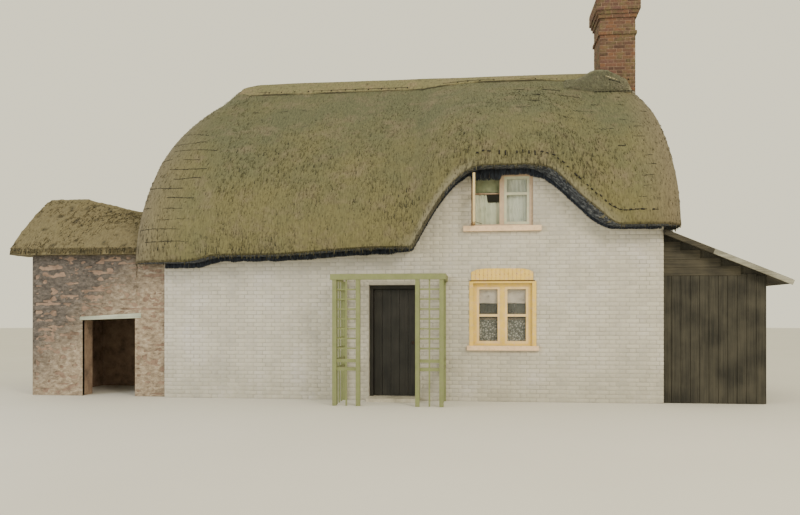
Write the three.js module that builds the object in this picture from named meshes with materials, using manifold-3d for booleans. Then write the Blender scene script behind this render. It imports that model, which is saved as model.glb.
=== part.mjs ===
// A thatched cottage with a low thatched wing on its left, a boarded lean-to on its right and a
// trellis porch. Millimetres. X runs along the front, Y runs into the house, Z is up from the ground.

import * as THREE from 'three';
import { mergeVertices } from 'three/addons/utils/BufferGeometryUtils.js';
import Module from 'manifold-3d';

const wasm = await Module();
wasm.setup();

// Driving dimensions

const TOUCH = 0.3;

const HOUSE = { left: -4440, right: 4500, depth: 5400, wall: 300 };
const FLOOR = { top: 60, upperUnder: 2240, upperTop: 2420 };
const DOORWAY = { left: -620, right: 300, head: 2060 };

const THATCH = {
  left: -5000,
  right: 4800,
  overhang: 420,
  ridge: 6530,
  ridgeLeft: -3750,
  ridgeRight: 4160,
  cornerRadius: 580,
  frontPower: 1.7,
  leftPower: 4,
  rightPower: 5,
  thickness: 500,
  topLevel: 0.985,
};
const SPLIT = { left: -3500, right: 3750 };
const EAVE = {
  cornerHeight: 2475,
  leftHeight: 2590,
  middleHeight: 2700,
  rightHeight: 3050,
  crownHeight: 4090,
  riseStart: -3915,
  riseLength: 665,
  middleStart: -2500,
  middleLength: 2200,
  browStart: 167,
  browLeftRun: 1280,
  browLeftPower: 0.6,
  browMiddle: 1800,
  browFallStart: 2150,
  browRightRun: 1550,
};
const LIP_LIFT = { start: 2200, rise: 500, top: 130, end: SPLIT.right, fall: 450 };
const SEAT = { lap: 40, radius: 50 };
const RIDGE_CAP = { skirt: 430, thickness: 55, root: 900, leftEnd: -3420 };
const SADDLE = {
  left: 3150,
  right: 4320,
  front: 1850,
  edge: 45,
  rise: 210,
  riseFrom: 3250,
  peakFrom: 3740,
  peakTo: 3920,
};

const STACK = { left: 3800, front: 2300, back: 3080, foot: 3050, neckTop: 7570, flue: 230 };
const CAP = {
  top: 7950,
  stringFoot: 7230,
  stringTop: 7300,
  stringOut: 28,
  corbels: 3,
  corbelStep: 30,
  corbelRise: 72,
};
const BREAST = { left: 3420, front: 1950, back: 3430, hearth: 900, hearthTop: 1150, hearthBack: 560 };
const FLUE_FOOT = 800;

const UPPER_WINDOW = { left: 1210, right: 2290, sill: 3090, head: 4030 };
const LOWER_WINDOW = { left: 1245, right: 2275, sill: 980, head: 2085 };
const BACK_WINDOWS = [
  { name: 'back_window_left', left: -2775, right: -1745, sill: 980, head: 2085 },
  { name: 'back_window_right', left: 1245, right: 2275, sill: 980, head: 2085 },
];
const JOINERY = {
  jamb: 60,
  foot: 36,
  mullion: 80,
  depth: 90,
  setBack: 60,
  stile: 45,
  leafDepth: 40,
  glass: 6,
};
const LEAF_REBATE = 10;
const PANE_LAP = 12;
const OPEN_LEAF_LAP = 30;
const UPPER_SILL = { thickness: 92, side: 138, out: 75 };
const LOWER_SILL = { thickness: 80, side: 110, out: 60 };
const UPPER_BAR = 3667;
const LOWER_BAR = 1515;
const ARCH = { left: 1210, right: 2290, spring: 2275, crown: 2340, under: 2122, proud: 14 };
const CLOTH = {
  gap: 15,
  side: 20,
  parting: 5,
  thickness: 8,
  blindFoot: 1730,
  shadeFoot: 3703,
  laceTop: 1440,
  gatheredTo: 1490,
  sag: 140,
};
const ARCHITRAVE = { width: 68, proud: 16 };

const DOOR = { jamb: 65, leafDepth: 45, clearance: 6, setBack: 110, frameDepth: 100 };
const LEDGE = { depth: 15, height: 130, shares: [0.12, 0.5, 0.86], hingeSide: 40, freeSide: 25 };
const HINGE = { radius: 12, x: -552, y: 222, strap: 6, length: 330, height: 40, sides: 16 };
const STEP_OUT = 330;

const PORCH = {
  front: -900,
  post: 70,
  centre: -170,
  halfOpening: 500,
  wing: 400,
  top: 2115,
  beam: 95,
  plate: 60,
  nosing: 10,
  topLath: 30,
};
const LATTICE = {
  lath: 26,
  thin: 13,
  pitch: 165,
  lowRail: 590,
  midRail: 730,
  rail: 55,
  railDepth: 34,
  clearTop: 100,
  sideUprights: 3,
};

const WING = {
  left: -7100,
  front: 100,
  back: 2400,
  wall: 350,
  wallTop: 2650,
  ridge: 3880,
  ridgeFall: 0.224,
  fallStart: -6700,
  middle: -5800,
  overhang: 220,
  endOverhang: 330,
  thickness: 380,
  ridgeFlat: 120,
  ridgeDrop: 70,
  lipIn: 30,
  lipUp: 110,
  bow: 50,
};
const WING_OPENING = { left: -6100, right: -5060 };
const LINTEL_PROUD = 15;
const LINTEL = {
  left: -6150,
  right: -4940,
  leftUnder: 1425,
  rightUnder: 1467,
  leftTop: 1487,
  rightTop: 1560,
};

const LEAN_TO = { right: 6210, front: 100, back: 3600, wall: 60 };
const LEAN_ROOF = { startTop: 2970, fall: 0.42, thickness: 48, right: 6580, front: -110, back: 3700 };

// Heights of walls that stop under a sloping edge, and measures worked out from those above

const UNDER_EAVE = EAVE.cornerHeight - TOUCH;
const UNDER_WING = WING.wallTop - TOUCH;
const UNDER_EDGE = THATCH.left - 20;
const RIDGE_Y = HOUSE.depth / 2;
const HALF_SPAN = RIDGE_Y + THATCH.overhang;
const UPPER_MULLION = (UPPER_WINDOW.left + UPPER_WINDOW.right) / 2 - 2;
const LOWER_MULLION = (LOWER_WINDOW.left + LOWER_WINDOW.right) / 2;

// How finely the thatch is measured

const SLOPE_STATIONS = {
  plain: [SPLIT.left, -3380, -3250, -2500, -2000, -1600, -1200, -800, -400],
  browPitch: 118,
  clear: 60,
};
const THATCH_LEVELS = [
  0, 0.1, 0.21, 0.33, 0.45, 0.56, 0.66, 0.75, 0.83, 0.89, 0.935, 0.965, THATCH.topLevel,
];
const ATTIC_ROWS = [900, 1500, 2100, RIDGE_Y, 3300, 3900, 4500];
const ATTIC_ENDS = { left: -3900, right: 4000, floor: 1000 };
const CAP_ROWS = [-1, -0.6, -0.25, 0, 0.25, 0.6, 1];
const SADDLE_COLUMNS = 12;
const SADDLE_ROWS = 4;
const CORNER_STEPS = 6;
const END_STEPS = 3;
const SHOULDER_SHARES = [0.22, 0.45];
const ARCH_STEPS = 12;
const WIDE = 20000;

// Colours, taken by eye from the photograph

const paint = (hex, roughness = 0.9, metalness = 0) =>
  new THREE.MeshStandardMaterial({ color: hex, roughness, metalness });

const THATCH_STRAW = paint(0x8d8554);
const RIDGE_STRAW = paint(0x7f7c58);
const LIMEWASH = paint(0xc3beb6);
const BRICK = paint(0x94573f);
const COB = paint(0xa38a76);
const FLOOR_BRICK = paint(0x8a6552);
const BOARD = paint(0x4b4037);
const FLOOR_BOARD = paint(0x8b7455);
const CREAM = paint(0xe6cfa4, 0.6);
const YELLOW = paint(0xe0bd62, 0.6);
const GREEN_WOOD = paint(0xb9bd84, 0.7);
const GREY_TIMBER = paint(0xb5b49c);
const DARK_DOOR = paint(0x2b2724, 0.7);
const GLASS = paint(0x2c3330, 0.1);
const LINEN = paint(0xd8d6c4);
const GREEN_LINEN = paint(0x6f7040);
const STONE = paint(0xb9b3a4);

// Turning geometries into closed solids and back

function solidFromMesh(positions, indices) {
  const mesh = new wasm.Mesh({ numProp: 3, vertProperties: positions, triVerts: indices });
  return new wasm.Manifold(mesh);
}

function solidFromGeometry(geometry) {
  const bare = geometry.clone();
  bare.deleteAttribute('normal');
  bare.deleteAttribute('uv');
  const merged = mergeVertices(bare, 1e-3);
  const positions = new Float32Array(merged.attributes.position.array);
  return solidFromMesh(positions, new Uint32Array(merged.index.array));
}

function geometryFromSolid(solid) {
  const mesh = solid.getMesh();
  const geometry = new THREE.BufferGeometry();
  geometry.setAttribute('position', new THREE.BufferAttribute(new Float32Array(mesh.vertProperties), 3));
  geometry.setIndex(new THREE.BufferAttribute(new Uint32Array(mesh.triVerts), 1));
  return geometry;
}

function boxGeometry(low, high) {
  const geometry = new THREE.BoxGeometry(high[0] - low[0], high[1] - low[1], high[2] - low[2]);
  geometry.translate((low[0] + high[0]) / 2, (low[1] + high[1]) / 2, (low[2] + high[2]) / 2);
  return geometry;
}

const boxSolid = (low, high) => solidFromGeometry(boxGeometry(low, high));

function joined(solids) {
  return solids.reduce((whole, piece) => whole.add(piece));
}

// Flat outlines given a thickness: standing along the front, or standing across it

// An outline keeps only its corners: a point in the middle of a straight edge is dropped
function cornersOf(points) {
  return points.filter(([a, b], i) => {
    const [beforeA, beforeB] = points.at(i - 1);
    const [afterA, afterB] = points[(i + 1) % points.length];
    return Math.abs((a - beforeA) * (afterB - b) - (b - beforeB) * (afterA - a)) > 1e-3;
  });
}

function outline(points) {
  return new THREE.Shape(cornersOf(points).map(([a, b]) => new THREE.Vector2(a, b)));
}

function alongFront(shape, yFrom, yTo) {
  const geometry = new THREE.ExtrudeGeometry(shape, { depth: yTo - yFrom, bevelEnabled: false });
  const turn = new THREE.Matrix4().makeBasis(
    new THREE.Vector3(1, 0, 0),
    new THREE.Vector3(0, 0, 1),
    new THREE.Vector3(0, -1, 0),
  );
  geometry.applyMatrix4(turn);
  geometry.translate(0, yTo, 0);
  return geometry;
}

function acrossFront(shape, xFrom, xTo) {
  const geometry = new THREE.ExtrudeGeometry(shape, { depth: xTo - xFrom, bevelEnabled: false });
  const turn = new THREE.Matrix4().makeBasis(
    new THREE.Vector3(0, 1, 0),
    new THREE.Vector3(0, 0, 1),
    new THREE.Vector3(1, 0, 0),
  );
  geometry.applyMatrix4(turn);
  geometry.translate(xFrom, 0, 0);
  return geometry;
}

// A plate with openings right through it, extruded by one of the two functions above
function piercedPlate(extrude, points, holes, from, to) {
  const plate = solidFromGeometry(extrude(outline(points), from, to));
  const cuts = holes.map((hole) => solidFromGeometry(extrude(outline(hole), from - 1, to + 1)));
  return geometryFromSolid(cuts.reduce((solid, cut) => solid.subtract(cut), plate));
}

const rectangle = (left, low, right, high) => [
  [left, low],
  [right, low],
  [right, high],
  [left, high],
];

// The eaves line: low at the left corner, and lifted in a brow over the upper window

function smooth(t) {
  const s = Math.min(Math.max(t, 0), 1);
  return s * s * (3 - 2 * s);
}

function plainEave(x) {
  const left = EAVE.cornerHeight
    + (EAVE.leftHeight - EAVE.cornerHeight) * smooth((x - EAVE.riseStart) / EAVE.riseLength)
    + (EAVE.middleHeight - EAVE.leftHeight) * smooth((x - EAVE.middleStart) / EAVE.middleLength);
  return left + (EAVE.rightHeight - left) * smooth((x - EAVE.browFallStart) / EAVE.browRightRun);
}

function frontEave(x) {
  if (x < EAVE.browMiddle) {
    const run = Math.min(Math.max((x - EAVE.browStart) / EAVE.browLeftRun, 0), 1);
    const rise = smooth(run ** EAVE.browLeftPower);
    const base = plainEave(x);
    return base + (EAVE.crownHeight - base) * rise;
  }
  const fall = smooth((x - EAVE.browFallStart) / EAVE.browRightRun);
  return EAVE.crownHeight - (EAVE.crownHeight - EAVE.rightHeight) * fall;
}

// The lip of the eaves, which stands higher than the wall's top on the right flank of the brow
function frontLip(x) {
  const risen = smooth((x - LIP_LIFT.start) / LIP_LIFT.rise) * smooth((LIP_LIFT.end - x) / LIP_LIFT.fall);
  return frontEave(x) + LIP_LIFT.top * risen;
}

// The thatch: plan outlines that shrink from the eaves to the ridge, with rounded corners

const halfDepth = (level) => HALF_SPAN * (1 - level ** THATCH.frontPower);

const leftEdge = (level) =>
  THATCH.ridgeLeft - (THATCH.ridgeLeft - THATCH.left) * (1 - level ** THATCH.leftPower);

const rightEdge = (level) =>
  THATCH.ridgeRight + (THATCH.right - THATCH.ridgeRight) * (1 - level ** THATCH.rightPower);

// Where the front and back slopes are measured, closer together under the brow
function slopeStations() {
  const stations = [...SLOPE_STATIONS.plain];
  for (let x = EAVE.browStart; x < SPLIT.right - SLOPE_STATIONS.clear; x += SLOPE_STATIONS.browPitch) {
    stations.push(x);
  }
  stations.push(SPLIT.right);
  return stations;
}

const STATIONS = slopeStations();

// Points on the slope between a split and the start of a corner
function shoulderStations(edge, inward, radius) {
  const start = inward > 0 ? SPLIT.left : SPLIT.right;
  const cornerX = edge + inward * radius;
  return SHOULDER_SHARES.map((share) => start + (cornerX - start) * share);
}

// One shoulder, corner and half of an end, going from the front slope to the middle of the end
function endQuarter(edge, inward, half, radius, shoulders) {
  const cornerX = edge + inward * radius;
  const points = shoulders.map((x) => [x, -half]);
  for (let i = 0; i <= CORNER_STEPS; i += 1) {
    const angle = (Math.PI / 2) * (i / CORNER_STEPS);
    points.push([cornerX - inward * radius * Math.sin(angle), -half + radius - radius * Math.cos(angle)]);
  }
  for (let i = 1; i < END_STEPS; i += 1) {
    points.push([edge, (-half + radius) * (1 - i / END_STEPS)]);
  }
  return points;
}

// A plan outline, counted along the front to the right and back again
function outlineFrom(rightQuarter, leftQuarter, half) {
  const mirrored = (points) => points.map(([x, y]) => [x, -y]);
  const points = [
    ...STATIONS.map((x) => [x, -half]),
    ...rightQuarter,
    [rightQuarter.at(-1)[0], 0],
    ...mirrored(rightQuarter).reverse(),
    ...STATIONS.map((x) => [x, half]).reverse(),
    ...mirrored(leftQuarter),
    [leftQuarter.at(-1)[0], 0],
    ...[...leftQuarter].reverse(),
  ];
  return points.map(([x, y]) => [x, y + RIDGE_Y]);
}

// The outline of the thatch at one level between the eaves and the ridge
function planOutline(level) {
  const half = halfDepth(level);
  const radius = Math.min(THATCH.cornerRadius, half * 0.98);
  const left = leftEdge(level);
  const right = rightEdge(level);
  return outlineFrom(
    endQuarter(right, -1, half, radius, shoulderStations(right, -1, radius)),
    endQuarter(left, 1, half, radius, shoulderStations(left, 1, radius)),
    half,
  );
}

// An outline of the flat soffit over the walls, at a distance in from their outer faces
function seatOutline(inset) {
  const left = HOUSE.left + inset;
  const right = HOUSE.right - inset;
  const half = RIDGE_Y - inset;
  return outlineFrom(
    endQuarter(right, -1, half, SEAT.radius, shoulderStations(rightEdge(0), -1, THATCH.cornerRadius)),
    endQuarter(left, 1, half, SEAT.radius, shoulderStations(leftEdge(0), 1, THATCH.cornerRadius)),
    half,
  );
}

// The height of the eaves, or of their lip, under each point of an outline at eaves level
function eaveHeights(points, frontLine) {
  return points.map(([x, y]) => {
    const straight = x >= HOUSE.left && x <= HOUSE.right;
    const line = y < RIDGE_Y ? frontLine : plainEave;
    if (straight) {
      return line(x);
    }
    return x < 0 ? EAVE.cornerHeight : EAVE.rightHeight;
  });
}

// Rings of equal count joined into one closed skin, with flat caps on the first and last
function loft(rings) {
  const count = rings[0].length;
  const positions = new Float32Array(rings.flat(2));
  const indices = [];
  for (let level = 0; level < rings.length - 1; level += 1) {
    for (let i = 0; i < count; i += 1) {
      const next = (i + 1) % count;
      const a = level * count + i;
      const b = level * count + next;
      const c = a + count;
      const d = b + count;
      indices.push(a, b, d, a, d, c);
    }
  }
  const flat = (ring) => ring.map(([x, y]) => new THREE.Vector2(x, y));
  for (const [a, b, c] of THREE.ShapeUtils.triangulateShape(flat(rings[0]), [])) {
    indices.push(a, c, b);
  }
  const last = (rings.length - 1) * count;
  for (const [a, b, c] of THREE.ShapeUtils.triangulateShape(flat(rings.at(-1)), [])) {
    indices.push(last + a, last + b, last + c);
  }
  return solidFromMesh(positions, new Uint32Array(indices));
}

// The roof as one solid loaf, before the attic is hollowed out of it
function roofLoaf() {
  const eaves = eaveHeights(planOutline(0), frontEave);
  const lips = eaveHeights(planOutline(0), frontLip);
  const rings = [HOUSE.wall + SEAT.lap, 0].map((inset) =>
    seatOutline(inset).map(([x, y], i) => [x, y, eaves[i]]),
  );
  for (const level of THATCH_LEVELS) {
    const ring = planOutline(level);
    rings.push(ring.map(([x, y], i) => [x, y, lips[i] + (THATCH.ridge - lips[i]) * level]));
  }
  return loft(rings);
}

// Height of the thatch above any point of the plan
function thatchHeight(x, y) {
  const across = Math.abs(y - RIDGE_Y);
  const slopeLevel = Math.max(1 - across / HALF_SPAN, 0) ** (1 / THATCH.frontPower);
  const leftShare = (THATCH.ridgeLeft - x) / (THATCH.ridgeLeft - THATCH.left);
  const rightShare = (x - THATCH.ridgeRight) / (THATCH.right - THATCH.ridgeRight);
  const leftLevel = leftShare <= 0 ? 1 : Math.max(1 - leftShare, 0) ** (1 / THATCH.leftPower);
  const rightLevel = rightShare <= 0 ? 1 : Math.max(1 - rightShare, 0) ** (1 / THATCH.rightPower);
  const lip = y < RIDGE_Y ? frontLip(x) : plainEave(x);
  return lip + (THATCH.ridge - lip) * Math.min(slopeLevel, leftLevel, rightLevel);
}

// A block with a flat underside whose top follows a height over a grid
function heightBlock(xs, ys, under, height) {
  const positions = [];
  const indices = [];
  const rows = ys.length;
  const top = xs.length * rows;
  for (const x of xs) {
    for (const y of ys) {
      positions.push(x, y, under);
    }
  }
  for (const x of xs) {
    for (const y of ys) {
      positions.push(x, y, height(x, y));
    }
  }
  const quad = (a, b, c, d) => indices.push(a, b, c, a, c, d);
  for (let i = 0; i < xs.length - 1; i += 1) {
    for (let j = 0; j < rows - 1; j += 1) {
      const a = i * rows + j;
      quad(a, a + 1, a + rows + 1, a + rows);
      quad(top + a, top + a + rows, top + a + rows + 1, top + a + 1);
    }
  }
  for (let i = 0; i < xs.length - 1; i += 1) {
    const a = i * rows;
    const b = a + rows - 1;
    quad(a, a + rows, top + a + rows, top + a);
    quad(b + rows, b, top + b, top + b + rows);
  }
  for (let j = 0; j < rows - 1; j += 1) {
    const b = (xs.length - 1) * rows + j;
    quad(j + 1, j, top + j, top + j + 1);
    quad(b, b + 1, top + b + 1, top + b);
  }
  return solidFromMesh(new Float32Array(positions), new Uint32Array(indices));
}

function atticSpace() {
  const left = HOUSE.left + HOUSE.wall;
  const right = HOUSE.right - HOUSE.wall;
  const xs = [left, ATTIC_ENDS.left, ...STATIONS, ATTIC_ENDS.right, right];
  const ys = [HOUSE.wall, ...ATTIC_ROWS, HOUSE.depth - HOUSE.wall];
  return heightBlock(xs, ys, ATTIC_ENDS.floor, (x, y) => thatchHeight(x, y) - THATCH.thickness);
}

const xSlab = (from, to) => boxSolid([from, -WIDE, -WIDE], [to, WIDE, WIDE]);
const ySlab = (from, to) => boxSolid([-WIDE, from, -WIDE], [WIDE, to, WIDE]);

function stackHole() {
  const low = [STACK.left - TOUCH, STACK.front - TOUCH, STACK.foot - HOUSE.wall];
  const high = [HOUSE.right + TOUCH, STACK.back + TOUCH, CAP.top];
  return boxSolid(low, high);
}

function thatchPieces() {
  const loaf = roofLoaf();
  const shell = loaf.subtract(atticSpace()).subtract(stackHole());
  const middle = shell.intersect(xSlab(SPLIT.left + TOUCH, SPLIT.right - TOUCH));
  return {
    loaf,
    front: middle.intersect(ySlab(-WIDE, RIDGE_Y - TOUCH)),
    back: middle.intersect(ySlab(RIDGE_Y, WIDE)),
    leftEnd: shell.intersect(xSlab(-WIDE, SPLIT.left)),
    rightEnd: shell.intersect(xSlab(SPLIT.right, WIDE)),
  };
}

function ridgeCap(loaf) {
  const xs = [RIDGE_CAP.leftEnd, ...STATIONS.filter((x) => x > RIDGE_CAP.leftEnd), STACK.left - TOUCH];
  const skirt = RIDGE_CAP.skirt;
  const ys = CAP_ROWS.map((share) => RIDGE_Y + skirt * share);
  const edge = (y) => 1 - 0.5 * Math.abs((y - RIDGE_Y) / skirt) ** 4;
  const top = (x, y) => Math.min(thatchHeight(x, y), THATCH.ridge) + RIDGE_CAP.thickness * edge(y);
  const block = heightBlock(xs, ys, THATCH.ridge - RIDGE_CAP.root, top);
  return block.add(saddle()).subtract(loaf.translate([0, 0, TOUCH]));
}

const spaced = (from, to, count) =>
  Array.from({ length: count + 1 }, (_, i) => from + ((to - from) * i) / count);

// The saddle in front of the stack: thick against the stack's left side, and thinner to the right
function saddle() {
  const xs = spaced(SADDLE.left, SADDLE.right, SADDLE_COLUMNS);
  const back = STACK.front - TOUCH;
  const ys = spaced(SADDLE.front, back, SADDLE_ROWS);
  const swell = (x) =>
    smooth((x - SADDLE.riseFrom) / (SADDLE.peakFrom - SADDLE.riseFrom))
    * Math.min((SADDLE.right - x) / (SADDLE.right - SADDLE.peakTo), 1);
  const top = (x, y) => {
    const share = (y - SADDLE.front) / (back - SADDLE.front);
    return thatchHeight(x, y) + SADDLE.edge + SADDLE.rise * swell(x) * share;
  };
  return heightBlock(xs, ys, THATCH.ridge - RIDGE_CAP.root, top);
}

// Walls of the house

// Every x where the eaves line of the thatch has a corner
function eaveCorners() {
  const xs = planOutline(0).filter(([, y]) => y < RIDGE_Y).map(([x]) => x);
  return [...new Set(xs)].sort((a, b) => a - b);
}

// The eaves line is straight between its corners
function soffitAt(x, line) {
  const corners = eaveCorners();
  const after = corners.findIndex((corner) => corner >= x);
  const low = corners[after - 1];
  const share = (x - low) / (corners[after] - low);
  return line(low) + (line(corners[after]) - line(low)) * share;
}

function wallTop(from, to, line) {
  const between = eaveCorners().filter((x) => x > from && x < to);
  return [from, ...between, to].map((x) => [x, soffitAt(x, line) - TOUCH]);
}

function pierced(wall, windows) {
  const holes = windows.map((w) => boxSolid([w.left, -WIDE, w.sill], [w.right, WIDE, w.head]));
  return geometryFromSolid(holes.reduce((solid, hole) => solid.subtract(hole), solidFromGeometry(wall)));
}

function frontWall(from, to, low, holes) {
  const top = wallTop(from, to, frontEave).reverse();
  return pierced(alongFront(outline([[from, low], [to, low], ...top]), 0, HOUSE.wall), holes);
}

function backWall() {
  const from = HOUSE.left;
  const to = HOUSE.right;
  const top = wallTop(from, to, plainEave).reverse();
  const shape = outline([[from, 0], [to, 0], ...top]);
  return pierced(alongFront(shape, HOUSE.depth - HOUSE.wall, HOUSE.depth), BACK_WINDOWS);
}

function endWall(xFrom, xTo, height) {
  const low = [xFrom, HOUSE.wall + TOUCH, 0];
  const high = [xTo, HOUSE.depth - HOUSE.wall - TOUCH, height - TOUCH];
  return boxGeometry(low, high);
}

// Floors, hearth and chimney

function groundFloor() {
  const low = [HOUSE.left + HOUSE.wall + TOUCH, HOUSE.wall + TOUCH, 0];
  const high = [HOUSE.right - HOUSE.wall - TOUCH, HOUSE.depth - HOUSE.wall - TOUCH, FLOOR.top];
  return boxGeometry(low, high);
}

function upperFloor() {
  const left = HOUSE.left + HOUSE.wall + TOUCH;
  const right = HOUSE.right - HOUSE.wall - TOUCH;
  const front = HOUSE.wall + TOUCH;
  const back = HOUSE.depth - HOUSE.wall - TOUCH;
  const hearthLeft = BREAST.left - TOUCH;
  const points = [
    [left, front],
    [right, front],
    [right, BREAST.front - TOUCH],
    [hearthLeft, BREAST.front - TOUCH],
    [hearthLeft, BREAST.back + TOUCH],
    [right, BREAST.back + TOUCH],
    [right, back],
    [left, back],
  ];
  const depth = FLOOR.upperTop - FLOOR.upperUnder;
  const geometry = new THREE.ExtrudeGeometry(outline(points), { depth, bevelEnabled: false });
  geometry.translate(0, 0, FLOOR.upperUnder);
  return geometry;
}

function chimneyBreast() {
  const right = HOUSE.right - HOUSE.wall - TOUCH;
  const middle = (BREAST.front + BREAST.back) / 2;
  const half = BREAST.hearth / 2;
  const bodyLow = [BREAST.left, BREAST.front, FLOOR.top + TOUCH];
  const body = boxSolid(bodyLow, [right, BREAST.back, STACK.foot - TOUCH]);
  const hearthLow = [BREAST.left - 1, middle - half, FLOOR.top];
  const hearth = boxSolid(hearthLow, [BREAST.left + BREAST.hearthBack, middle + half, BREAST.hearthTop]);
  return geometryFromSolid(body.subtract(hearth).subtract(flueSpace()));
}

// The flue runs from the hearth to the open top
function flueSpace() {
  const middle = (STACK.front + STACK.back) / 2;
  const half = STACK.flue / 2;
  const left = STACK.left + half;
  return boxSolid([left, middle - half, FLUE_FOOT], [left + STACK.flue, middle + half, CAP.top + 1]);
}

function chimneyStack() {
  const body = boxSolid([STACK.left, STACK.front, STACK.foot], [HOUSE.right, STACK.back, STACK.neckTop]);
  const out = CAP.stringOut;
  const string = boxSolid(
    [STACK.left - out, STACK.front - out, CAP.stringFoot],
    [HOUSE.right + out, STACK.back + out, CAP.stringTop],
  );
  return geometryFromSolid(body.add(string).subtract(flueSpace()));
}

function chimneyCap() {
  const courses = [];
  for (let step = 1; step <= CAP.corbels; step += 1) {
    const out = CAP.corbelStep * step;
    const low = STACK.neckTop + TOUCH + CAP.corbelRise * (step - 1);
    const high = step === CAP.corbels ? CAP.top : low + CAP.corbelRise;
    const corner = [STACK.left - out, STACK.front - out, low];
    courses.push(boxSolid(corner, [HOUSE.right + out, STACK.back + out, high]));
  }
  return geometryFromSolid(joined(courses).subtract(flueSpace()));
}

// Windows

function windowFrame(w, face, mullionAt) {
  const inset = JOINERY.jamb;
  const half = JOINERY.mullion / 2;
  const low = w.sill + JOINERY.foot;
  const high = w.head - inset;
  const leftLight = rectangle(w.left + inset, low, mullionAt - half, high);
  const rightLight = rectangle(mullionAt + half, low, w.right - inset, high);
  const outer = rectangle(w.left + TOUCH, w.sill + TOUCH, w.right - TOUCH, w.head - TOUCH);
  return piercedPlate(alongFront, outer, [leftLight, rightLight], face, face + JOINERY.depth);
}

// A leaf of a casement with one bar across it, lying along the front or standing across it
function leafPlate(extrude, [left, low, right, high], barAt, from) {
  const s = JOINERY.stile;
  const bar = JOINERY.stile / 2;
  const upper = rectangle(left + s, barAt + bar, right - s, high - s);
  const lower = rectangle(left + s, low + s, right - s, barAt - bar);
  const outer = rectangle(left, low, right, high);
  return piercedPlate(extrude, outer, [upper, lower], from, from + JOINERY.leafDepth);
}

function lightBounds(w, mullionAt, side) {
  const half = JOINERY.mullion / 2;
  const left = side === 'left' ? w.left + JOINERY.jamb : mullionAt + half;
  const right = side === 'left' ? mullionAt - half : w.right - JOINERY.jamb;
  return {
    left: left + TOUCH,
    right: right - TOUCH,
    low: w.sill + JOINERY.foot + TOUCH,
    high: w.head - JOINERY.jamb - TOUCH,
  };
}

function casement(w, mullionAt, side, barAt) {
  const b = lightBounds(w, mullionAt, side);
  const front = JOINERY.setBack + LEAF_REBATE;
  return leafPlate(alongFront, [b.left, b.low, b.right, b.high], barAt, front);
}

function pane(w, mullionAt, side) {
  const b = lightBounds(w, mullionAt, side);
  const front = JOINERY.setBack + LEAF_REBATE + JOINERY.leafDepth + TOUCH;
  const s = JOINERY.stile - PANE_LAP;
  const shape = outline(rectangle(b.left + s, b.low + s, b.right - s, b.high - s));
  return alongFront(shape, front, front + JOINERY.glass);
}

// The left leaf of the upper window stands open, square to the wall, hung on the left jamb's face
function openLeafBounds() {
  const b = lightBounds(UPPER_WINDOW, UPPER_MULLION, 'left');
  const hinge = JOINERY.setBack - TOUCH;
  const free = hinge - (b.right - b.left);
  return { free, hinge, low: b.low, high: b.high, x: b.left - OPEN_LEAF_LAP };
}

function openLeaf(barAt) {
  const b = openLeafBounds();
  return leafPlate(acrossFront, [b.free, b.low, b.hinge, b.high], barAt, b.x);
}

function openPane() {
  const b = openLeafBounds();
  const s = JOINERY.stile - PANE_LAP;
  const from = b.x + JOINERY.leafDepth + TOUCH;
  const shape = outline(rectangle(b.free + s, b.low + s, b.hinge - s, b.high - s));
  return acrossFront(shape, from, from + JOINERY.glass);
}

// A sill seated on the wall face below the window, with its top level with the opening's foot
function frontSill(w, board) {
  return boxGeometry(
    [w.left - board.side, -board.out, w.sill - board.thickness],
    [w.right + board.side, -TOUCH, w.sill - TOUCH],
  );
}

// Painted brick arch over the lower window, flat below and bowed above
function archShape() {
  const half = (ARCH.right - ARCH.left) / 2;
  const rise = ARCH.crown - ARCH.spring;
  const radius = (half * half + rise * rise) / (2 * rise);
  const centreX = (ARCH.left + ARCH.right) / 2;
  const centreZ = ARCH.crown - radius;
  const sweep = Math.asin(half / radius);
  const points = [
    [ARCH.left, ARCH.under],
    [ARCH.right, ARCH.under],
  ];
  for (let i = 0; i <= ARCH_STEPS; i += 1) {
    const angle = sweep - (2 * sweep * i) / ARCH_STEPS;
    points.push([centreX + radius * Math.sin(angle), centreZ + radius * Math.cos(angle)]);
  }
  return outline(points);
}

function architrave() {
  const w = LOWER_WINDOW;
  const out = ARCHITRAVE.width;
  const points = [
    [w.left - out, w.sill],
    [w.left, w.sill],
    [w.left, w.head],
    [w.right, w.head],
    [w.right, w.sill],
    [w.right + out, w.sill],
    [w.right + out, ARCH.under - TOUCH],
    [w.left - out, ARCH.under - TOUCH],
  ];
  return alongFront(outline(points), -ARCHITRAVE.proud, -TOUCH);
}

// Cloth behind the glass, as flat panels
function hungCloth(points) {
  const front = JOINERY.setBack + JOINERY.depth + CLOTH.gap;
  return alongFront(outline(points), front, front + CLOTH.thickness);
}

// The left curtain hangs from the height of the bar and has sagged off its rod beside the mullion
function leftCurtain() {
  const w = UPPER_WINDOW;
  const left = w.left + CLOTH.side;
  const right = UPPER_MULLION - CLOTH.parting;
  const foot = w.sill + TOUCH;
  return hungCloth([
    [left, foot],
    [right, foot],
    [right, UPPER_BAR - CLOTH.sag],
    [CLOTH.gatheredTo, UPPER_BAR - CLOTH.sag],
    [CLOTH.gatheredTo, UPPER_BAR],
    [left, UPPER_BAR],
  ]);
}

function rightCurtain() {
  const w = UPPER_WINDOW;
  const left = UPPER_MULLION + CLOTH.parting;
  return hungCloth(rectangle(left, w.sill + TOUCH, w.right - CLOTH.side, w.head - TOUCH));
}

function leftShade() {
  const w = UPPER_WINDOW;
  const right = UPPER_MULLION - CLOTH.parting;
  return hungCloth(rectangle(w.left + CLOTH.side, CLOTH.shadeFoot, right, w.head - TOUCH));
}

function lowerCloth(low, high) {
  const w = LOWER_WINDOW;
  return hungCloth(rectangle(w.left + CLOTH.side, low, w.right - CLOTH.side, high));
}

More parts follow.
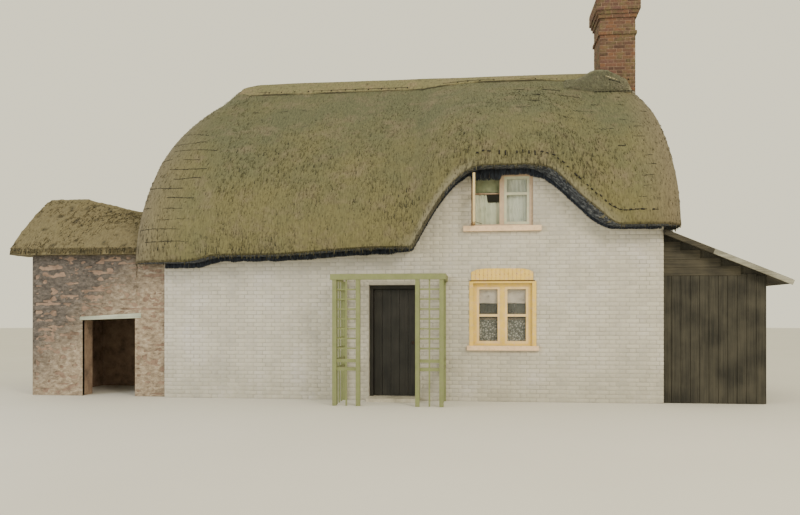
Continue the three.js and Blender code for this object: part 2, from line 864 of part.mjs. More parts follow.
// A window of the back wall: frame and leaves in one, four lights, one sheet of glass
function backWindow(w) {
  const middle = (w.left + w.right) / 2;
  const side = JOINERY.jamb + JOINERY.stile;
  const half = JOINERY.mullion / 2 + JOINERY.stile;
  const bar = JOINERY.stile / 2;
  const lights = [];
  for (const [left, right] of [[w.left + side, middle - half], [middle + half, w.right - side]]) {
    lights.push(rectangle(left, w.sill + side, right, LOWER_BAR - bar));
    lights.push(rectangle(left, LOWER_BAR + bar, right, w.head - side));
  }
  const outer = rectangle(w.left + TOUCH, w.sill + TOUCH, w.right - TOUCH, w.head - TOUCH);
  const back = HOUSE.depth - JOINERY.setBack;
  return piercedPlate(alongFront, outer, lights, back - JOINERY.depth, back);
}

function backGlass(w) {
  const back = HOUSE.depth - JOINERY.setBack - JOINERY.depth - TOUCH;
  const lap = JOINERY.jamb;
  return boxGeometry(
    [w.left + lap, back - JOINERY.glass, w.sill + lap],
    [w.right - lap, back, w.head - lap],
  );
}

function backSill(w, board) {
  return boxGeometry(
    [w.left - board.side, HOUSE.depth + TOUCH, w.sill - board.thickness],
    [w.right + board.side, HOUSE.depth + board.out, w.sill - TOUCH],
  );
}

// The front door in its frame

function doorFrame() {
  const d = DOORWAY;
  const outer = [
    [d.left + TOUCH, FLOOR.top + TOUCH],
    [d.left + DOOR.jamb, FLOOR.top + TOUCH],
    [d.left + DOOR.jamb, d.head - DOOR.jamb],
    [d.right - DOOR.jamb, d.head - DOOR.jamb],
    [d.right - DOOR.jamb, FLOOR.top + TOUCH],
    [d.right - TOUCH, FLOOR.top + TOUCH],
    [d.right - TOUCH, d.head - TOUCH],
    [d.left + TOUCH, d.head - TOUCH],
  ];
  return alongFront(outline(outer), DOOR.setBack, DOOR.setBack + DOOR.frameDepth);
}

// A strap across a ledge, ending in the barrel that the leaf turns on
function strapHinge(low) {
  const barrel = new THREE.CylinderGeometry(HINGE.radius, HINGE.radius, HINGE.height, HINGE.sides);
  barrel.rotateX(Math.PI / 2);
  barrel.translate(HINGE.x, HINGE.y, low + HINGE.height / 2);
  const front = HINGE.y - HINGE.radius - 1;
  const end = [HINGE.x + HINGE.length, front + HINGE.strap, low + HINGE.height];
  return solidFromGeometry(barrel).add(boxSolid([HINGE.x, front, low], end));
}

// Planks outside, ledges across the inside, and a strap hinge on the top and bottom ledges
function frontDoor() {
  const left = DOORWAY.left + DOOR.jamb + DOOR.clearance;
  const right = DOORWAY.right - DOOR.jamb - DOOR.clearance;
  const low = FLOOR.top + DOOR.clearance;
  const high = DOORWAY.head - DOOR.jamb - DOOR.clearance;
  const back = DOOR.setBack + DOOR.frameDepth;
  const planksBack = back - LEDGE.depth;
  const planks = boxSolid([left, back - DOOR.leafDepth, low], [right, planksBack, high]);
  const ledgeFeet = LEDGE.shares.map((share) => low + (high - low) * share);
  const ledges = ledgeFeet.map((z) =>
    boxSolid([left + LEDGE.hingeSide, planksBack - 1, z], [right - LEDGE.freeSide, back, z + LEDGE.height]),
  );
  const hinges = [ledgeFeet[0], ledgeFeet[2]].map((z) => strapHinge(z + (LEDGE.height - HINGE.height) / 2));
  return geometryFromSolid(joined([planks, ...ledges, ...hinges]));
}

function doorStep() {
  const low = [DOORWAY.left + TOUCH, -STEP_OUT, 0];
  return boxGeometry(low, [DOORWAY.right - TOUCH, HOUSE.wall - TOUCH, FLOOR.top]);
}

// Trellis porch: on each side two posts in front and one on the wall, with rails and laths between

const porchInner = (side) => PORCH.centre + side * PORCH.halfOpening;
const porchOuter = (side) => PORCH.centre + side * (PORCH.halfOpening + PORCH.wing);

function porchPosts(side) {
  const p = PORCH.post;
  const post = (x, y) => boxSolid([x - p / 2, y, 0], [x + p / 2, y + p, PORCH.top]);
  return [
    post(porchInner(side), PORCH.front),
    post(porchOuter(side), PORCH.front),
    post(porchOuter(side), -p - TOUCH),
  ];
}

// One level bar along the front of a side panel and one along its flank
function porchBars(side, z, deep, tall) {
  const half = deep / 2;
  const middle = PORCH.front + PORCH.post / 2;
  const [left, right] = [porchInner(side), porchOuter(side)].sort((a, b) => a - b);
  const outer = porchOuter(side);
  return [
    boxSolid([left, middle - half, z], [right, middle + half, z + tall]),
    boxSolid([outer - half, middle, z], [outer + half, -PORCH.post / 2, z + tall]),
  ];
}

function porchLaths(side) {
  const first = LATTICE.midRail + LATTICE.rail + LATTICE.pitch;
  const bars = [];
  for (let z = first; z < PORCH.top - LATTICE.clearTop; z += LATTICE.pitch) {
    bars.push(...porchBars(side, z, LATTICE.thin, LATTICE.lath));
  }
  return bars;
}

function porchUprights(side) {
  const half = LATTICE.lath / 2;
  const upright = (x, y) => boxSolid([x - half, y - half, 0], [x + half, y + half, PORCH.top]);
  const start = PORCH.front + PORCH.post / 2;
  const uprights = [upright((porchInner(side) + porchOuter(side)) / 2, start)];
  const gaps = LATTICE.sideUprights + 1;
  for (let i = 1; i < gaps; i += 1) {
    uprights.push(upright(porchOuter(side), start + ((-PORCH.front - PORCH.post) * i) / gaps));
  }
  return uprights;
}

function porchSide(side) {
  const rails = [LATTICE.lowRail, LATTICE.midRail].flatMap((z) =>
    porchBars(side, z, LATTICE.railDepth, LATTICE.rail),
  );
  const solids = [...porchPosts(side), ...rails, ...porchLaths(side), ...porchUprights(side)];
  return geometryFromSolid(joined(solids));
}

// A beam in front, a plate back to the wall on each side, and three laths across
function porchTop() {
  const reach = PORCH.halfOpening + PORCH.wing + PORCH.post;
  const left = PORCH.centre - reach;
  const right = PORCH.centre + reach;
  const low = PORCH.top + TOUCH;
  const high = low + PORCH.beam;
  const plates = [left, right - PORCH.plate].map((x) =>
    boxSolid([x, PORCH.front, low], [x + PORCH.plate, -TOUCH, high]),
  );
  const front = boxSolid(
    [left, PORCH.front - PORCH.nosing, low],
    [right, PORCH.front + PORCH.post, high],
  );
  const laths = [0.25, 0.5, 0.75].map((share) => {
    const y = PORCH.front * (1 - share);
    return boxSolid([left, y - LATTICE.thin, high - PORCH.topLath], [right, y + LATTICE.thin, high]);
  });
  return geometryFromSolid(joined([front, ...plates, ...laths]));
}

// The low wing

function wingRidge(x) {
  return WING.ridge - WING.ridgeFall * Math.max(x - WING.fallStart, 0);
}

function wingRoof(loaf) {
  const middle = (WING.front + WING.back) / 2;
  const xs = [WING.left - WING.endOverhang, WING.fallStart, WING.middle, HOUSE.left];
  const section = (x) => {
    const ridge = wingRidge(x);
    const lipFront = WING.front - WING.overhang;
    const backLip = WING.back + WING.overhang;
    const lipTop = WING.wallTop + WING.lipUp;
    const crestTop = ridge - WING.ridgeDrop;
    const bowed = (lipY, crestY) => [x, (lipY + crestY) / 2, (lipTop + crestTop) / 2 + WING.bow];
    return [
      [x, lipFront, WING.wallTop],
      [x, WING.front + WING.wall, WING.wallTop],
      [x, middle, ridge - WING.thickness],
      [x, WING.back - WING.wall, WING.wallTop],
      [x, backLip, WING.wallTop],
      [x, backLip - WING.lipIn, lipTop],
      bowed(backLip - WING.lipIn, middle + WING.ridgeFlat),
      [x, middle + WING.ridgeFlat, crestTop],
      [x, middle, ridge],
      [x, middle - WING.ridgeFlat, crestTop],
      bowed(lipFront + WING.lipIn, middle - WING.ridgeFlat),
      [x, lipFront + WING.lipIn, lipTop],
    ];
  };
  return loftAlong(xs.map(section)).subtract(loaf.translate([-TOUCH, 0, 0])).subtract(loaf);
}

// Sections standing across the front, joined along it
function loftAlong(sections) {
  const count = sections[0].length;
  const positions = new Float32Array(sections.flat(2));
  const indices = [];
  for (let s = 0; s < sections.length - 1; s += 1) {
    for (let i = 0; i < count; i += 1) {
      const next = (i + 1) % count;
      const a = s * count + i;
      const b = s * count + next;
      indices.push(a, b, b + count, a, b + count, a + count);
    }
  }
  const flat = (section) => section.map(([, y, z]) => new THREE.Vector2(y, z));
  for (const [a, b, c] of THREE.ShapeUtils.triangulateShape(flat(sections[0]), [])) {
    indices.push(a, c, b);
  }
  const last = (sections.length - 1) * count;
  for (const [a, b, c] of THREE.ShapeUtils.triangulateShape(flat(sections.at(-1)), [])) {
    indices.push(last + a, last + b, last + c);
  }
  return solidFromMesh(positions, new Uint32Array(indices));
}

function wingEndWall() {
  const middle = (WING.front + WING.back) / 2;
  const points = [
    [WING.front, 0],
    [WING.back, 0],
    [WING.back, UNDER_WING],
    [WING.back - WING.wall, UNDER_WING],
    [middle, WING.ridge - WING.thickness - TOUCH],
    [WING.front + WING.wall, UNDER_WING],
    [WING.front, UNDER_WING],
  ];
  return acrossFront(outline(points), WING.left, WING.left + WING.wall);
}

function lintelLine(x, leftHeight, rightHeight) {
  const share = (x - LINTEL.left) / (LINTEL.right - LINTEL.left);
  return leftHeight + (rightHeight - leftHeight) * share;
}

const lintelUnder = (x) => lintelLine(x, LINTEL.leftUnder, LINTEL.rightUnder);
const lintelTop = (x) => lintelLine(x, LINTEL.leftTop, LINTEL.rightTop);

function wingLintel() {
  const points = [
    [LINTEL.left, LINTEL.leftUnder],
    [LINTEL.right, LINTEL.rightUnder],
    [LINTEL.right, LINTEL.rightTop],
    [LINTEL.left, LINTEL.leftTop],
  ];
  return alongFront(outline(points), WING.front - LINTEL_PROUD, WING.front + WING.wall);
}

const wingFront = (points) => alongFront(outline(points), WING.front, WING.front + WING.wall);

function wingPierLeft() {
  const left = WING.left + WING.wall + TOUCH;
  const right = WING_OPENING.left;
  const notch = LINTEL.left - TOUCH;
  return wingFront([
    [left, 0],
    [right, 0],
    [right, lintelUnder(right) - TOUCH],
    [notch, lintelUnder(notch) - TOUCH],
    [notch, UNDER_WING],
    [left, UNDER_WING],
  ]);
}

function wingPierRight() {
  const left = WING_OPENING.right;
  const right = HOUSE.left - TOUCH;
  const notch = LINTEL.right + TOUCH;
  return wingFront([
    [left, 0],
    [right, 0],
    [right, UNDER_EAVE],
    [notch, UNDER_EAVE],
    [notch, lintelUnder(notch) - TOUCH],
    [left, lintelUnder(left) - TOUCH],
  ]);
}

function wingWallOver() {
  return wingFront([
    [LINTEL.left, LINTEL.leftTop + TOUCH],
    [LINTEL.right, LINTEL.rightTop + TOUCH],
    [LINTEL.right, UNDER_EAVE],
    [UNDER_EDGE, UNDER_EAVE],
    [UNDER_EDGE, UNDER_WING],
    [LINTEL.left, UNDER_WING],
  ]);
}

function wingBackWall() {
  const points = [
    [WING.left + WING.wall + TOUCH, 0],
    [HOUSE.left - TOUCH, 0],
    [HOUSE.left - TOUCH, UNDER_EAVE],
    [UNDER_EDGE, UNDER_EAVE],
    [UNDER_EDGE, UNDER_WING],
    [WING.left + WING.wall + TOUCH, UNDER_WING],
  ];
  return alongFront(outline(points), WING.back - WING.wall, WING.back);
}

// The boarded lean-to

const leanTop = (x) => LEAN_ROOF.startTop - (x - HOUSE.right) * LEAN_ROOF.fall;

function leanRoof() {
  const left = HOUSE.right + TOUCH;
  const right = LEAN_ROOF.right;
  const points = [
    [left, leanTop(left) - LEAN_ROOF.thickness],
    [right, leanTop(right) - LEAN_ROOF.thickness],
    [right, leanTop(right)],
    [left, leanTop(left)],
  ];
  return alongFront(outline(points), LEAN_ROOF.front, LEAN_ROOF.back);
}

const leanUnder = (x) => leanTop(x) - LEAN_ROOF.thickness - TOUCH;

function leanFrontWall() {
  const left = HOUSE.right + TOUCH;
  const right = LEAN_TO.right;
  const points = [
    [left, 0],
    [right, 0],
    [right, leanUnder(right)],
    [left, leanUnder(left)],
  ];
  return alongFront(outline(points), LEAN_TO.front, LEAN_TO.front + LEAN_TO.wall);
}

function leanSideWall() {
  const left = LEAN_TO.right - LEAN_TO.wall;
  const low = [left, LEAN_TO.front + LEAN_TO.wall + TOUCH, 0];
  return boxGeometry(low, [LEAN_TO.right, LEAN_TO.back, leanUnder(LEAN_TO.right)]);
}

// The finished cottage

const cottage = new THREE.Group();

function add(name, geometry, material) {
  const mesh = new THREE.Mesh(geometry, material);
  mesh.name = name;
  cottage.add(mesh);
}

const thatch = thatchPieces();
add('thatch_front', geometryFromSolid(thatch.front), THATCH_STRAW);
add('thatch_back', geometryFromSolid(thatch.back), THATCH_STRAW);
add('thatch_left_end', geometryFromSolid(thatch.leftEnd), THATCH_STRAW);
add('thatch_right_end', geometryFromSolid(thatch.rightEnd), THATCH_STRAW);
add('thatch_ridge', geometryFromSolid(ridgeCap(thatch.loaf)), RIDGE_STRAW);

add('front_wall_left', frontWall(HOUSE.left, DOORWAY.left, 0, []), LIMEWASH);
add(
  'front_wall_over_door',
  frontWall(DOORWAY.left + TOUCH, DOORWAY.right - TOUCH, DOORWAY.head, []),
  LIMEWASH,
);
add(
  'front_wall_right',
  frontWall(DOORWAY.right, HOUSE.right, 0, [UPPER_WINDOW, LOWER_WINDOW]),
  LIMEWASH,
);
add('left_end_wall', endWall(HOUSE.left, HOUSE.left + HOUSE.wall, EAVE.cornerHeight), LIMEWASH);
add('right_end_wall', endWall(HOUSE.right - HOUSE.wall, HOUSE.right, EAVE.rightHeight), LIMEWASH);
add('back_wall', backWall(), LIMEWASH);
add('ground_floor', groundFloor(), FLOOR_BRICK);
add('upper_floor', upperFloor(), FLOOR_BOARD);
add('chimney_breast', chimneyBreast(), LIMEWASH);
add('chimney_stack', chimneyStack(), BRICK);
add('chimney_cap', chimneyCap(), BRICK);

add('upper_window_frame', windowFrame(UPPER_WINDOW, JOINERY.setBack, UPPER_MULLION), CREAM);
add('upper_window_left_leaf', openLeaf(UPPER_BAR), CREAM);
add('upper_window_left_pane', openPane(), GLASS);
add('upper_window_right_leaf', casement(UPPER_WINDOW, UPPER_MULLION, 'right', UPPER_BAR), CREAM);
add('upper_window_right_pane', pane(UPPER_WINDOW, UPPER_MULLION, 'right'), GLASS);
add('upper_window_sill', frontSill(UPPER_WINDOW, UPPER_SILL), CREAM);
add('upper_window_curtain_left', leftCurtain(), LINEN);
add('upper_window_curtain_right', rightCurtain(), LINEN);
add('upper_window_shade', leftShade(), GREEN_LINEN);

add('lower_window_frame', windowFrame(LOWER_WINDOW, JOINERY.setBack, LOWER_MULLION), YELLOW);
add('lower_window_left_leaf', casement(LOWER_WINDOW, LOWER_MULLION, 'left', LOWER_BAR), YELLOW);
add('lower_window_left_pane', pane(LOWER_WINDOW, LOWER_MULLION, 'left'), GLASS);
add('lower_window_right_leaf', casement(LOWER_WINDOW, LOWER_MULLION, 'right', LOWER_BAR), YELLOW);
add('lower_window_right_pane', pane(LOWER_WINDOW, LOWER_MULLION, 'right'), GLASS);
add('lower_window_surround', architrave(), YELLOW);
add('lower_window_arch', alongFront(archShape(), -ARCH.proud, -TOUCH), YELLOW);
add('lower_window_sill', frontSill(LOWER_WINDOW, LOWER_SILL), CREAM);
add('lower_window_blind', lowerCloth(CLOTH.blindFoot, LOWER_WINDOW.head - TOUCH), LINEN);
add('lower_window_lace', lowerCloth(LOWER_WINDOW.sill + TOUCH, CLOTH.laceTop), LINEN);

for (const window of BACK_WINDOWS) {
  add(`${window.name}_frame`, backWindow(window), CREAM);
  add(`${window.name}_glass`, backGlass(window), GLASS);
  add(`${window.name}_sill`, backSill(window, LOWER_SILL), CREAM);
}

add('door_frame', doorFrame(), DARK_DOOR);
add('front_door', frontDoor(), DARK_DOOR);
add('door_step', doorStep(), STONE);
add('porch_left_side', porchSide(-1), GREEN_WOOD);
add('porch_right_side', porchSide(1), GREEN_WOOD);
add('porch_top', porchTop(), GREEN_WOOD);

add('wing_thatch', geometryFromSolid(wingRoof(thatch.loaf)), THATCH_STRAW);
add('wing_end_wall', wingEndWall(), COB);
add('wing_front_wall_left', wingPierLeft(), COB);
add('wing_front_wall_right', wingPierRight(), COB);
add('wing_wall_over_opening', wingWallOver(), COB);
add('wing_lintel', wingLintel(), GREY_TIMBER);
add('wing_back_wall', wingBackWall(), COB);

add('lean_to_roof', leanRoof(), BOARD);
add('lean_to_front_wall', leanFrontWall(), BOARD);
add('lean_to_side_wall', leanSideWall(), BOARD);

export default cottage;
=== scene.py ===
"""Dresses the frame of a thatched cottage: thatch, brickwork, joinery, boards, light and camera.

Laid out as an add-on and run as a script. Lengths are metres. X runs along the front towards the
chimney, Y runs into the house and Z is up from the ground.
"""

import functools
import math
import random
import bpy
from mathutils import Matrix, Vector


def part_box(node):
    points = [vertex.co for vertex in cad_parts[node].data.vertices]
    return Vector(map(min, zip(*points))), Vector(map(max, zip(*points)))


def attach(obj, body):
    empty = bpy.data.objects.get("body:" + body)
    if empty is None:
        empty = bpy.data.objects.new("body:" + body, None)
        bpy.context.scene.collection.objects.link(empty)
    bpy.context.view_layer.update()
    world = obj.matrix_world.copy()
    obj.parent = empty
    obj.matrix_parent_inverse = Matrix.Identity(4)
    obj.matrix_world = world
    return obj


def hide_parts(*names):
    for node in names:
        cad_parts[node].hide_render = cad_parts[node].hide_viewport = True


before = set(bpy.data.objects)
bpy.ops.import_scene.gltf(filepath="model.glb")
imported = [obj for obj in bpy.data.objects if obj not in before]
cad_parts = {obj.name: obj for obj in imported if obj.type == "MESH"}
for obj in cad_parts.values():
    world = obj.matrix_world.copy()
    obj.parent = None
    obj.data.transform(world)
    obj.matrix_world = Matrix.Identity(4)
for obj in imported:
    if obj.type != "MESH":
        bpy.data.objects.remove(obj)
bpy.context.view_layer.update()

from types import SimpleNamespace

import bmesh
import bpy
import numpy as np
from bpy.props import FloatProperty, FloatVectorProperty, IntProperty, PointerProperty
from mathutils import Matrix, Vector, noise

bl_info = {
    "name": "Thatched cottage",
    "version": (1, 0, 0),
    "blender": (4, 5, 0),
    "location": "View3D > Sidebar > Cottage",
    "description": "Thatch, brickwork, joinery and boards on the cottage's frame",
    "category": "Object",
}


# Sizes read from the frame, and driving sizes where its boxes don't give them

def low(node):
    """The lowest corner of a node's box."""
    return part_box(node)[0]


def high(node):
    """The highest corner of a node's box."""
    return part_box(node)[1]


UP = Vector((0, 0, 1))
WALL_LEFT = low("front_wall_left").x
WALL_RIGHT = high("front_wall_right").x
WALL_BACK = high("back_wall").y
RIDGE_Y = WALL_BACK / 2
DOORWAY = SimpleNamespace(
    left=high("front_wall_left").x,
    right=low("front_wall_right").x,
    head=low("front_wall_over_door").z,
)

# The main roof: its reach at the eaves, the height and ends of its ridge, the radius of its corners in
# plan, and the powers that bend its slope and its two hips
ROOF = SimpleNamespace(
    left=low("thatch_left_end").x,
    right=high("thatch_right_end").x,
    half=RIDGE_Y - low("thatch_front").y,
    ridge=6.53,
    ridge_left=-3.75,
    ridge_right=4.16,
    corner=0.58,
    front_power=1.7,
    left_power=4.0,
    right_power=5.0,
)

# Where the front and back slopes meet the two ends, and the length given to the run round each end
SPLIT = SimpleNamespace(left=-3.5, right=3.75)
END_LENGTH = 8.0

# Heights of the eaves and of the brow's crown, and where each step and each flank lies along the front
EAVES = SimpleNamespace(
    corner=2.475,
    left=2.59,
    middle=2.70,
    right=3.05,
    crown=4.09,
    rise_start=-3.915,
    rise_run=0.665,
    middle_start=-2.5,
    middle_run=2.2,
    brow_start=0.167,
    brow_left_run=1.28,
    brow_left_power=0.6,
    brow_middle=1.8,
    brow_fall=2.15,
    brow_right_run=1.55,
)

# How far the thatch's lip stands over the wall's top on the right flank of the brow, and where it does
LIP = SimpleNamespace(start=2.2, rise=0.5, top=0.13, end=SPLIT.right, fall=0.45)

# The coat: its share under the eaves, the length that the reed's pattern gives to that share, and the
# level at which it ends under the ridge
COAT = SimpleNamespace(soffit=0.07, under_eaves=0.4, top_level=0.995)

# The sedge cap: its ends, how far it reaches down each slope, and how thick it lies
RIDGE_CAP = SimpleNamespace(
    left=low("thatch_ridge").x,
    right=high("thatch_ridge").x,
    skirt=0.435,
    lift=0.056,
)

# How far the string course stands out of the stack, and the stack's own faces
STRING_COURSE = 0.028
STACK = SimpleNamespace(
    left=low("chimney_stack").x + STRING_COURSE,
    right=high("chimney_stack").x - STRING_COURSE,
    front=low("chimney_stack").y + STRING_COURSE,
    back=high("chimney_stack").y - STRING_COURSE,
)

# The thatch heaped before the stack: its plan, the height of its cut edge, how it rises to a peak, and
# how far it thins out on the left
SADDLE = SimpleNamespace(
    left=3.15,
    right=4.32,
    front=1.85,
    edge=0.045,
    rise=0.21,
    rise_from=3.25,
    peak_from=3.74,
    peak_to=3.92,
    run_out=0.14,
)

# The lean-to's roof: its height at the house wall, how much it falls in each metre, and its thickness
LEAN_TO = SimpleNamespace(top=2.97, fall=0.42, thick=0.05)

# How low the imported reed hangs under the wall's head, as pairs of x and depth; drawn blue black, it is
# painted shade under the
# eaves: hardly over the left wall, lowest where it hangs into the open light, and deep enough over the shut
# leaf to hide its head
SHADOW_PACKING = (
    (-4.42, 0.1), (-0.2, 0.1), (0.2, 0.03), (1.2, 0.05), (1.24, 0.2), (1.71, 0.2),
    (1.75, 0.12), (2.3, 0.12), (2.5, 0.085), (2.9, 0.05), (4.45, 0.05),
)


# Colours and settings

def linear(text):
    """An sRGB hex colour as linear red, green, blue."""
    parts = [int(text[i:i + 2], 16) / 255 for i in (0, 2, 4)]
    return [c / 12.92 if c <= 0.04045 else ((c + 0.055) / 1.055) ** 2.4 for c in parts]


def colour_property(name, description, text):
    """A colour setting, from an sRGB hex text."""
    return FloatVectorProperty(
        name=name, description=description, subtype="COLOR", size=3, min=0, max=1, default=linear(text)
    )


def length_property(name, description, default):
    """A length setting in metres."""
    return FloatProperty(name=name, description=description, default=default, min=0, unit="LENGTH")


class ThatchSettings(bpy.types.PropertyGroup):
    """Reed coat of the roofs"""

    proud: length_property("Proud", "How far the combed coat stands over the frame's thatch", 0.014)
    course: length_property("Course", "Height from one row of fixing to the next", 0.205)
    coat: length_property("Coat", "Thickness of the combed outer coat", 0.05)
    reed_radius: length_property("Reed", "Radius of a loose reed, drawn thick enough to show", 0.005)
    stubs: IntProperty(name="Stubs", description="Loose reeds on the front slope", default=9000, min=0)
    lit: colour_property("Lit straw", "Straw low on the slopes", "6c6745")
    green: colour_property("Green straw", "Weathered straw high on the slopes", "5c5e45")
    tan: colour_property("Tan straw", "Newer and drier patches", "766b57")
    # The shaded straw is mixed in by tone: as painted shade between the reed ends, under the eaves, in
    # hollows and along the dark rows, and as random darker reeds
    shade: colour_property("Shaded straw", "Between the reed ends", "25241c")


class BrickSettings(bpy.types.PropertyGroup):
    """Hand-made bricks of the walls and the chimney"""

    course: length_property("Course", "Height of one brick and its joint", 0.073)
    joint: length_property("Joint", "Width of a mortar joint", 0.011)
    stretcher: length_property("Stretcher", "Length of a brick", 0.215)
    header: length_property("Header", "Width of a brick", 0.1025)
    proud: length_property("Proud", "How far a brick stands out of its joints", 0.004)
    limewash: colour_property("Limewash", "Limewash on the bricks", "c9c4b7")
    red: colour_property("Red", "Bricks of the chimney", "5f453a")


class PaintSettings(bpy.types.PropertyGroup):
    """Oil paints of the joinery"""

    cream: colour_property("Cream", "Sills", "fad9b4")
    straw: colour_property("Straw", "The open leaf of the upper window", "e2cb98")
    pink: colour_property("Pink", "Bars and jambs of the upper window", "c8af97")
    pale: colour_property("Pale green", "The shut leaf of the upper window", "c6cbb2")
    yellow: colour_property("Yellow", "Joinery, surround and arch of the lower window", "f4cf66")
    green: colour_property("Green", "Porch", "82895b")


class StageSettings(bpy.types.PropertyGroup):
    """Camera and light"""

    eye: FloatVectorProperty(
        name="Eye", description="Where the camera stands", subtype="TRANSLATION", default=(1.365, -13.0, 1.54)
    )
    yaw: FloatProperty(
        name="Yaw", description="Turn to the left", subtype="ANGLE", default=math.radians(6.24)
    )
    lens: FloatProperty(name="Lens", description="Focal length in millimetres", default=32.94, min=1)
    rise: FloatProperty(name="Rise", description="Vertical shift of the lens", default=0.0706)
    key: FloatProperty(name="Key", description="Power of the large soft light", default=1500, min=0)
    fill: FloatProperty(name="Fill", description="Power of the fill light", default=700, min=0)
    upstairs: FloatProperty(name="Upstairs", description="Power of the light upstairs", default=40, min=0)


# Nodes of a material

def rgba(shade):
    """A socket's colour from an sRGB hex text, a grey or a linear colour of the settings."""
    if isinstance(shade, str):
        shade = linear(shade)
    elif isinstance(shade, (int, float)):
        shade = (shade, shade, shade)
    return (*shade, 1.0)


def feed(socket, value):
    """Set a socket to a value or colour, or link it to a socket or to a node's first live output."""
    if isinstance(value, bpy.types.Node):
        value = next(output for output in value.outputs if output.enabled)
    if isinstance(value, bpy.types.NodeSocket):
        socket.id_data.links.new(value, socket)
    else:
        socket.default_value = rgba(value) if socket.type == "RGBA" else value


def node(tree, kind, *values, stops=(), **settings):
    """Add a node: values feed its live inputs in order, and settings in capitals the inputs they name."""
    made = tree.nodes.new(f"ShaderNode{kind}")
    for name, value in settings.items():
        if name.islower():
            setattr(made, name, value)
    for index, (position, shade) in enumerate(stops):
        if index == len(made.color_ramp.elements):
            made.color_ramp.elements.new(1.0)
        made.color_ramp.elements[index].position = position
        made.color_ramp.elements[index].color = rgba(shade)
    for socket, value in zip([socket for socket in made.inputs if socket.enabled], values):
        feed(socket, value)
    for name, value in settings.items():
        if not name.islower():
            feed(made.inputs[name.replace("_", " ")], value)
    return made


def new_material(roughness, **constants):
    """A material whose shader has its constants on its own sockets.

    With it come the call that adds a node to it, and the place that its patterns read.
    """
    material = bpy.data.materials.new("finish")
    material.use_nodes = True
    shader = material.node_tree.nodes["Principled BSDF"]
    for key, value in {"Roughness": roughness, **constants}.items():
        feed(shader.inputs[key.replace("_", " ")], value)
    add = functools.partial(node, material.node_tree)
    return material, add, add("TexCoord").outputs["Object"]


def surface(material, colour, height=None, strength=0.6, depth=0.004):
    """Give a material its colour and, where a height comes with it, its relief."""
    shader = material.node_tree.nodes["Principled BSDF"]
    feed(shader.inputs["Base Color"], colour)
    if height is not None:
        relief = node(material.node_tree, "Bump", Height=height, Strength=strength, Distance=depth)
        feed(shader.inputs["Normal"], relief)
    return material


def textured(roughness, grain, stops, relief=None, stretch=(1, 1, 1), **constants):
    """A surface of one noise, given by its patches in a metre, its detail and its roughness.

    A ramp makes its colour and, where a relief is given, the noise lifts it by that many metres.
    """
    material, add, place = new_material(roughness, **constants)
    spread = add("Mapping", place, Scale=stretch)
    texture = add("TexNoise", spread, *grain)
    colour = add("ValToRGB", texture, stops=stops)
    return surface(material, colour, texture if relief else None, depth=relief)


# Materials of the thatch

def reed_material(lit, green, tan):
    """Combed reed, weathered out of doors: matt, finely streaked down the slope, mottled by moss."""
    material, add, place = new_material(0.95)
    flow = add("Attribute", attribute_name="flow").outputs["Vector"]
    tone = add("Attribute", attribute_name="tone").outputs["Fac"]
    where = add("SeparateXYZ", place).outputs

    # Reeds are 6 mm thick, drawn as streaks about 20 mm wide so that they show
    streaks = add("TexNoise", add("Mapping", flow, Scale=(44, 8, 1)), 1, 3, 0.7)
    flecks = add("TexNoise", add("Mapping", flow, Scale=(30, 16, 1)), 1, 2, 0.6)

    # Patches of moss and newer straw, half a metre to two metres across
    patches = add("TexNoise", place, 0.9, 4, 0.6)
    climb = add("MapRange", where["Z"], 3.0, 5.4, -0.1, 0.9)
    shift = add("Math", patches, 2, -1, operation="MULTIPLY_ADD")
    greener = add("Math", climb, shift, operation="ADD", use_clamp=True)
    straw = add("Mix", greener, lit, green, data_type="RGBA")

    # Drier and browner at the hips, where rain runs off soonest
    left_hip = add("MapRange", where["X"], -4.9, -3.9, 0.75, 0)
    right_hip = add("MapRange", where["X"], 4.0, 4.6, 0, 0.75)
    dry = add("MapRange", add("TexNoise", place, 2.3, 5, 0.7), 0.5, 0.72, 0, 0.7)
    hips = add("Math", left_hip, right_hip, operation="ADD")
    drier = add("Math", hips, dry, operation="MAXIMUM", use_clamp=True)
    patched = add("Mix", drier, straw, tan, data_type="RGBA")

    combed = add("ValToRGB", streaks, stops=[(0.28, 0.62), (0.5, 0.98), (0.74, 1.28)])
    final = add("Mix", 1, patched, combed, data_type="RGBA", blend_type="MULTIPLY")
    # A greyer band of cut reed ends along the brow's lip, with painted light on the flank that faces the
    # light
    edged = add("Mix", cut_edge_and_painted_light(add, flow, where["X"]), final, "8f8a7a", data_type="RGBA")
    # Flecks between the reed ends mix in the shaded straw: painted shade in the gaps. The tone that a piece
    # carries mixes it in as well
    between = add("MapRange", flecks, 0.58, 0.74, 0, 0.55)
    deepened = add("Math", between, tone, operation="MAXIMUM", use_clamp=True)
    shade = bpy.context.scene.cottage_thatch.shade
    shaded = add("Mix", deepened, edged, shade, data_type="RGBA")
    return surface(material, shaded, add("Math", streaks, between, operation="SUBTRACT"), depth=0.014)


def cut_edge_and_painted_light(add, flow, along_front):
    """A greyer band along the brow's lip where the reed was cut back afresh, made strongest on the left flank
    by painted light, since that flank faces the light.
    """
    near = add("MapRange", add("SeparateXYZ", flow).outputs["Z"], 0.06, 0.22, 1, 0)
    across = add("MapRange", along_front, -0.5, 4.5)
    flank = add("ValToRGB", across, stops=[
        (0.08, 0), (0.16, 0.5), (0.29, 0.5), (0.38, 0.1), (0.58, 0.1), (0.68, 0.35), (0.8, 0.35), (0.88, 0),
    ])
    return add("Math", near, flank, operation="MULTIPLY", use_clamp=True)


def weathered_reed():
    """Reed of the main roof: straw low down, green grey higher up"""
    thatch = bpy.context.scene.cottage_thatch
    return reed_material(thatch.lit, thatch.green, thatch.tan)


def sedge():
    """Sedge bent over the ridge: greyer and browner than the reed below it"""
    return reed_material("887b58", "787553", "8a7a60")


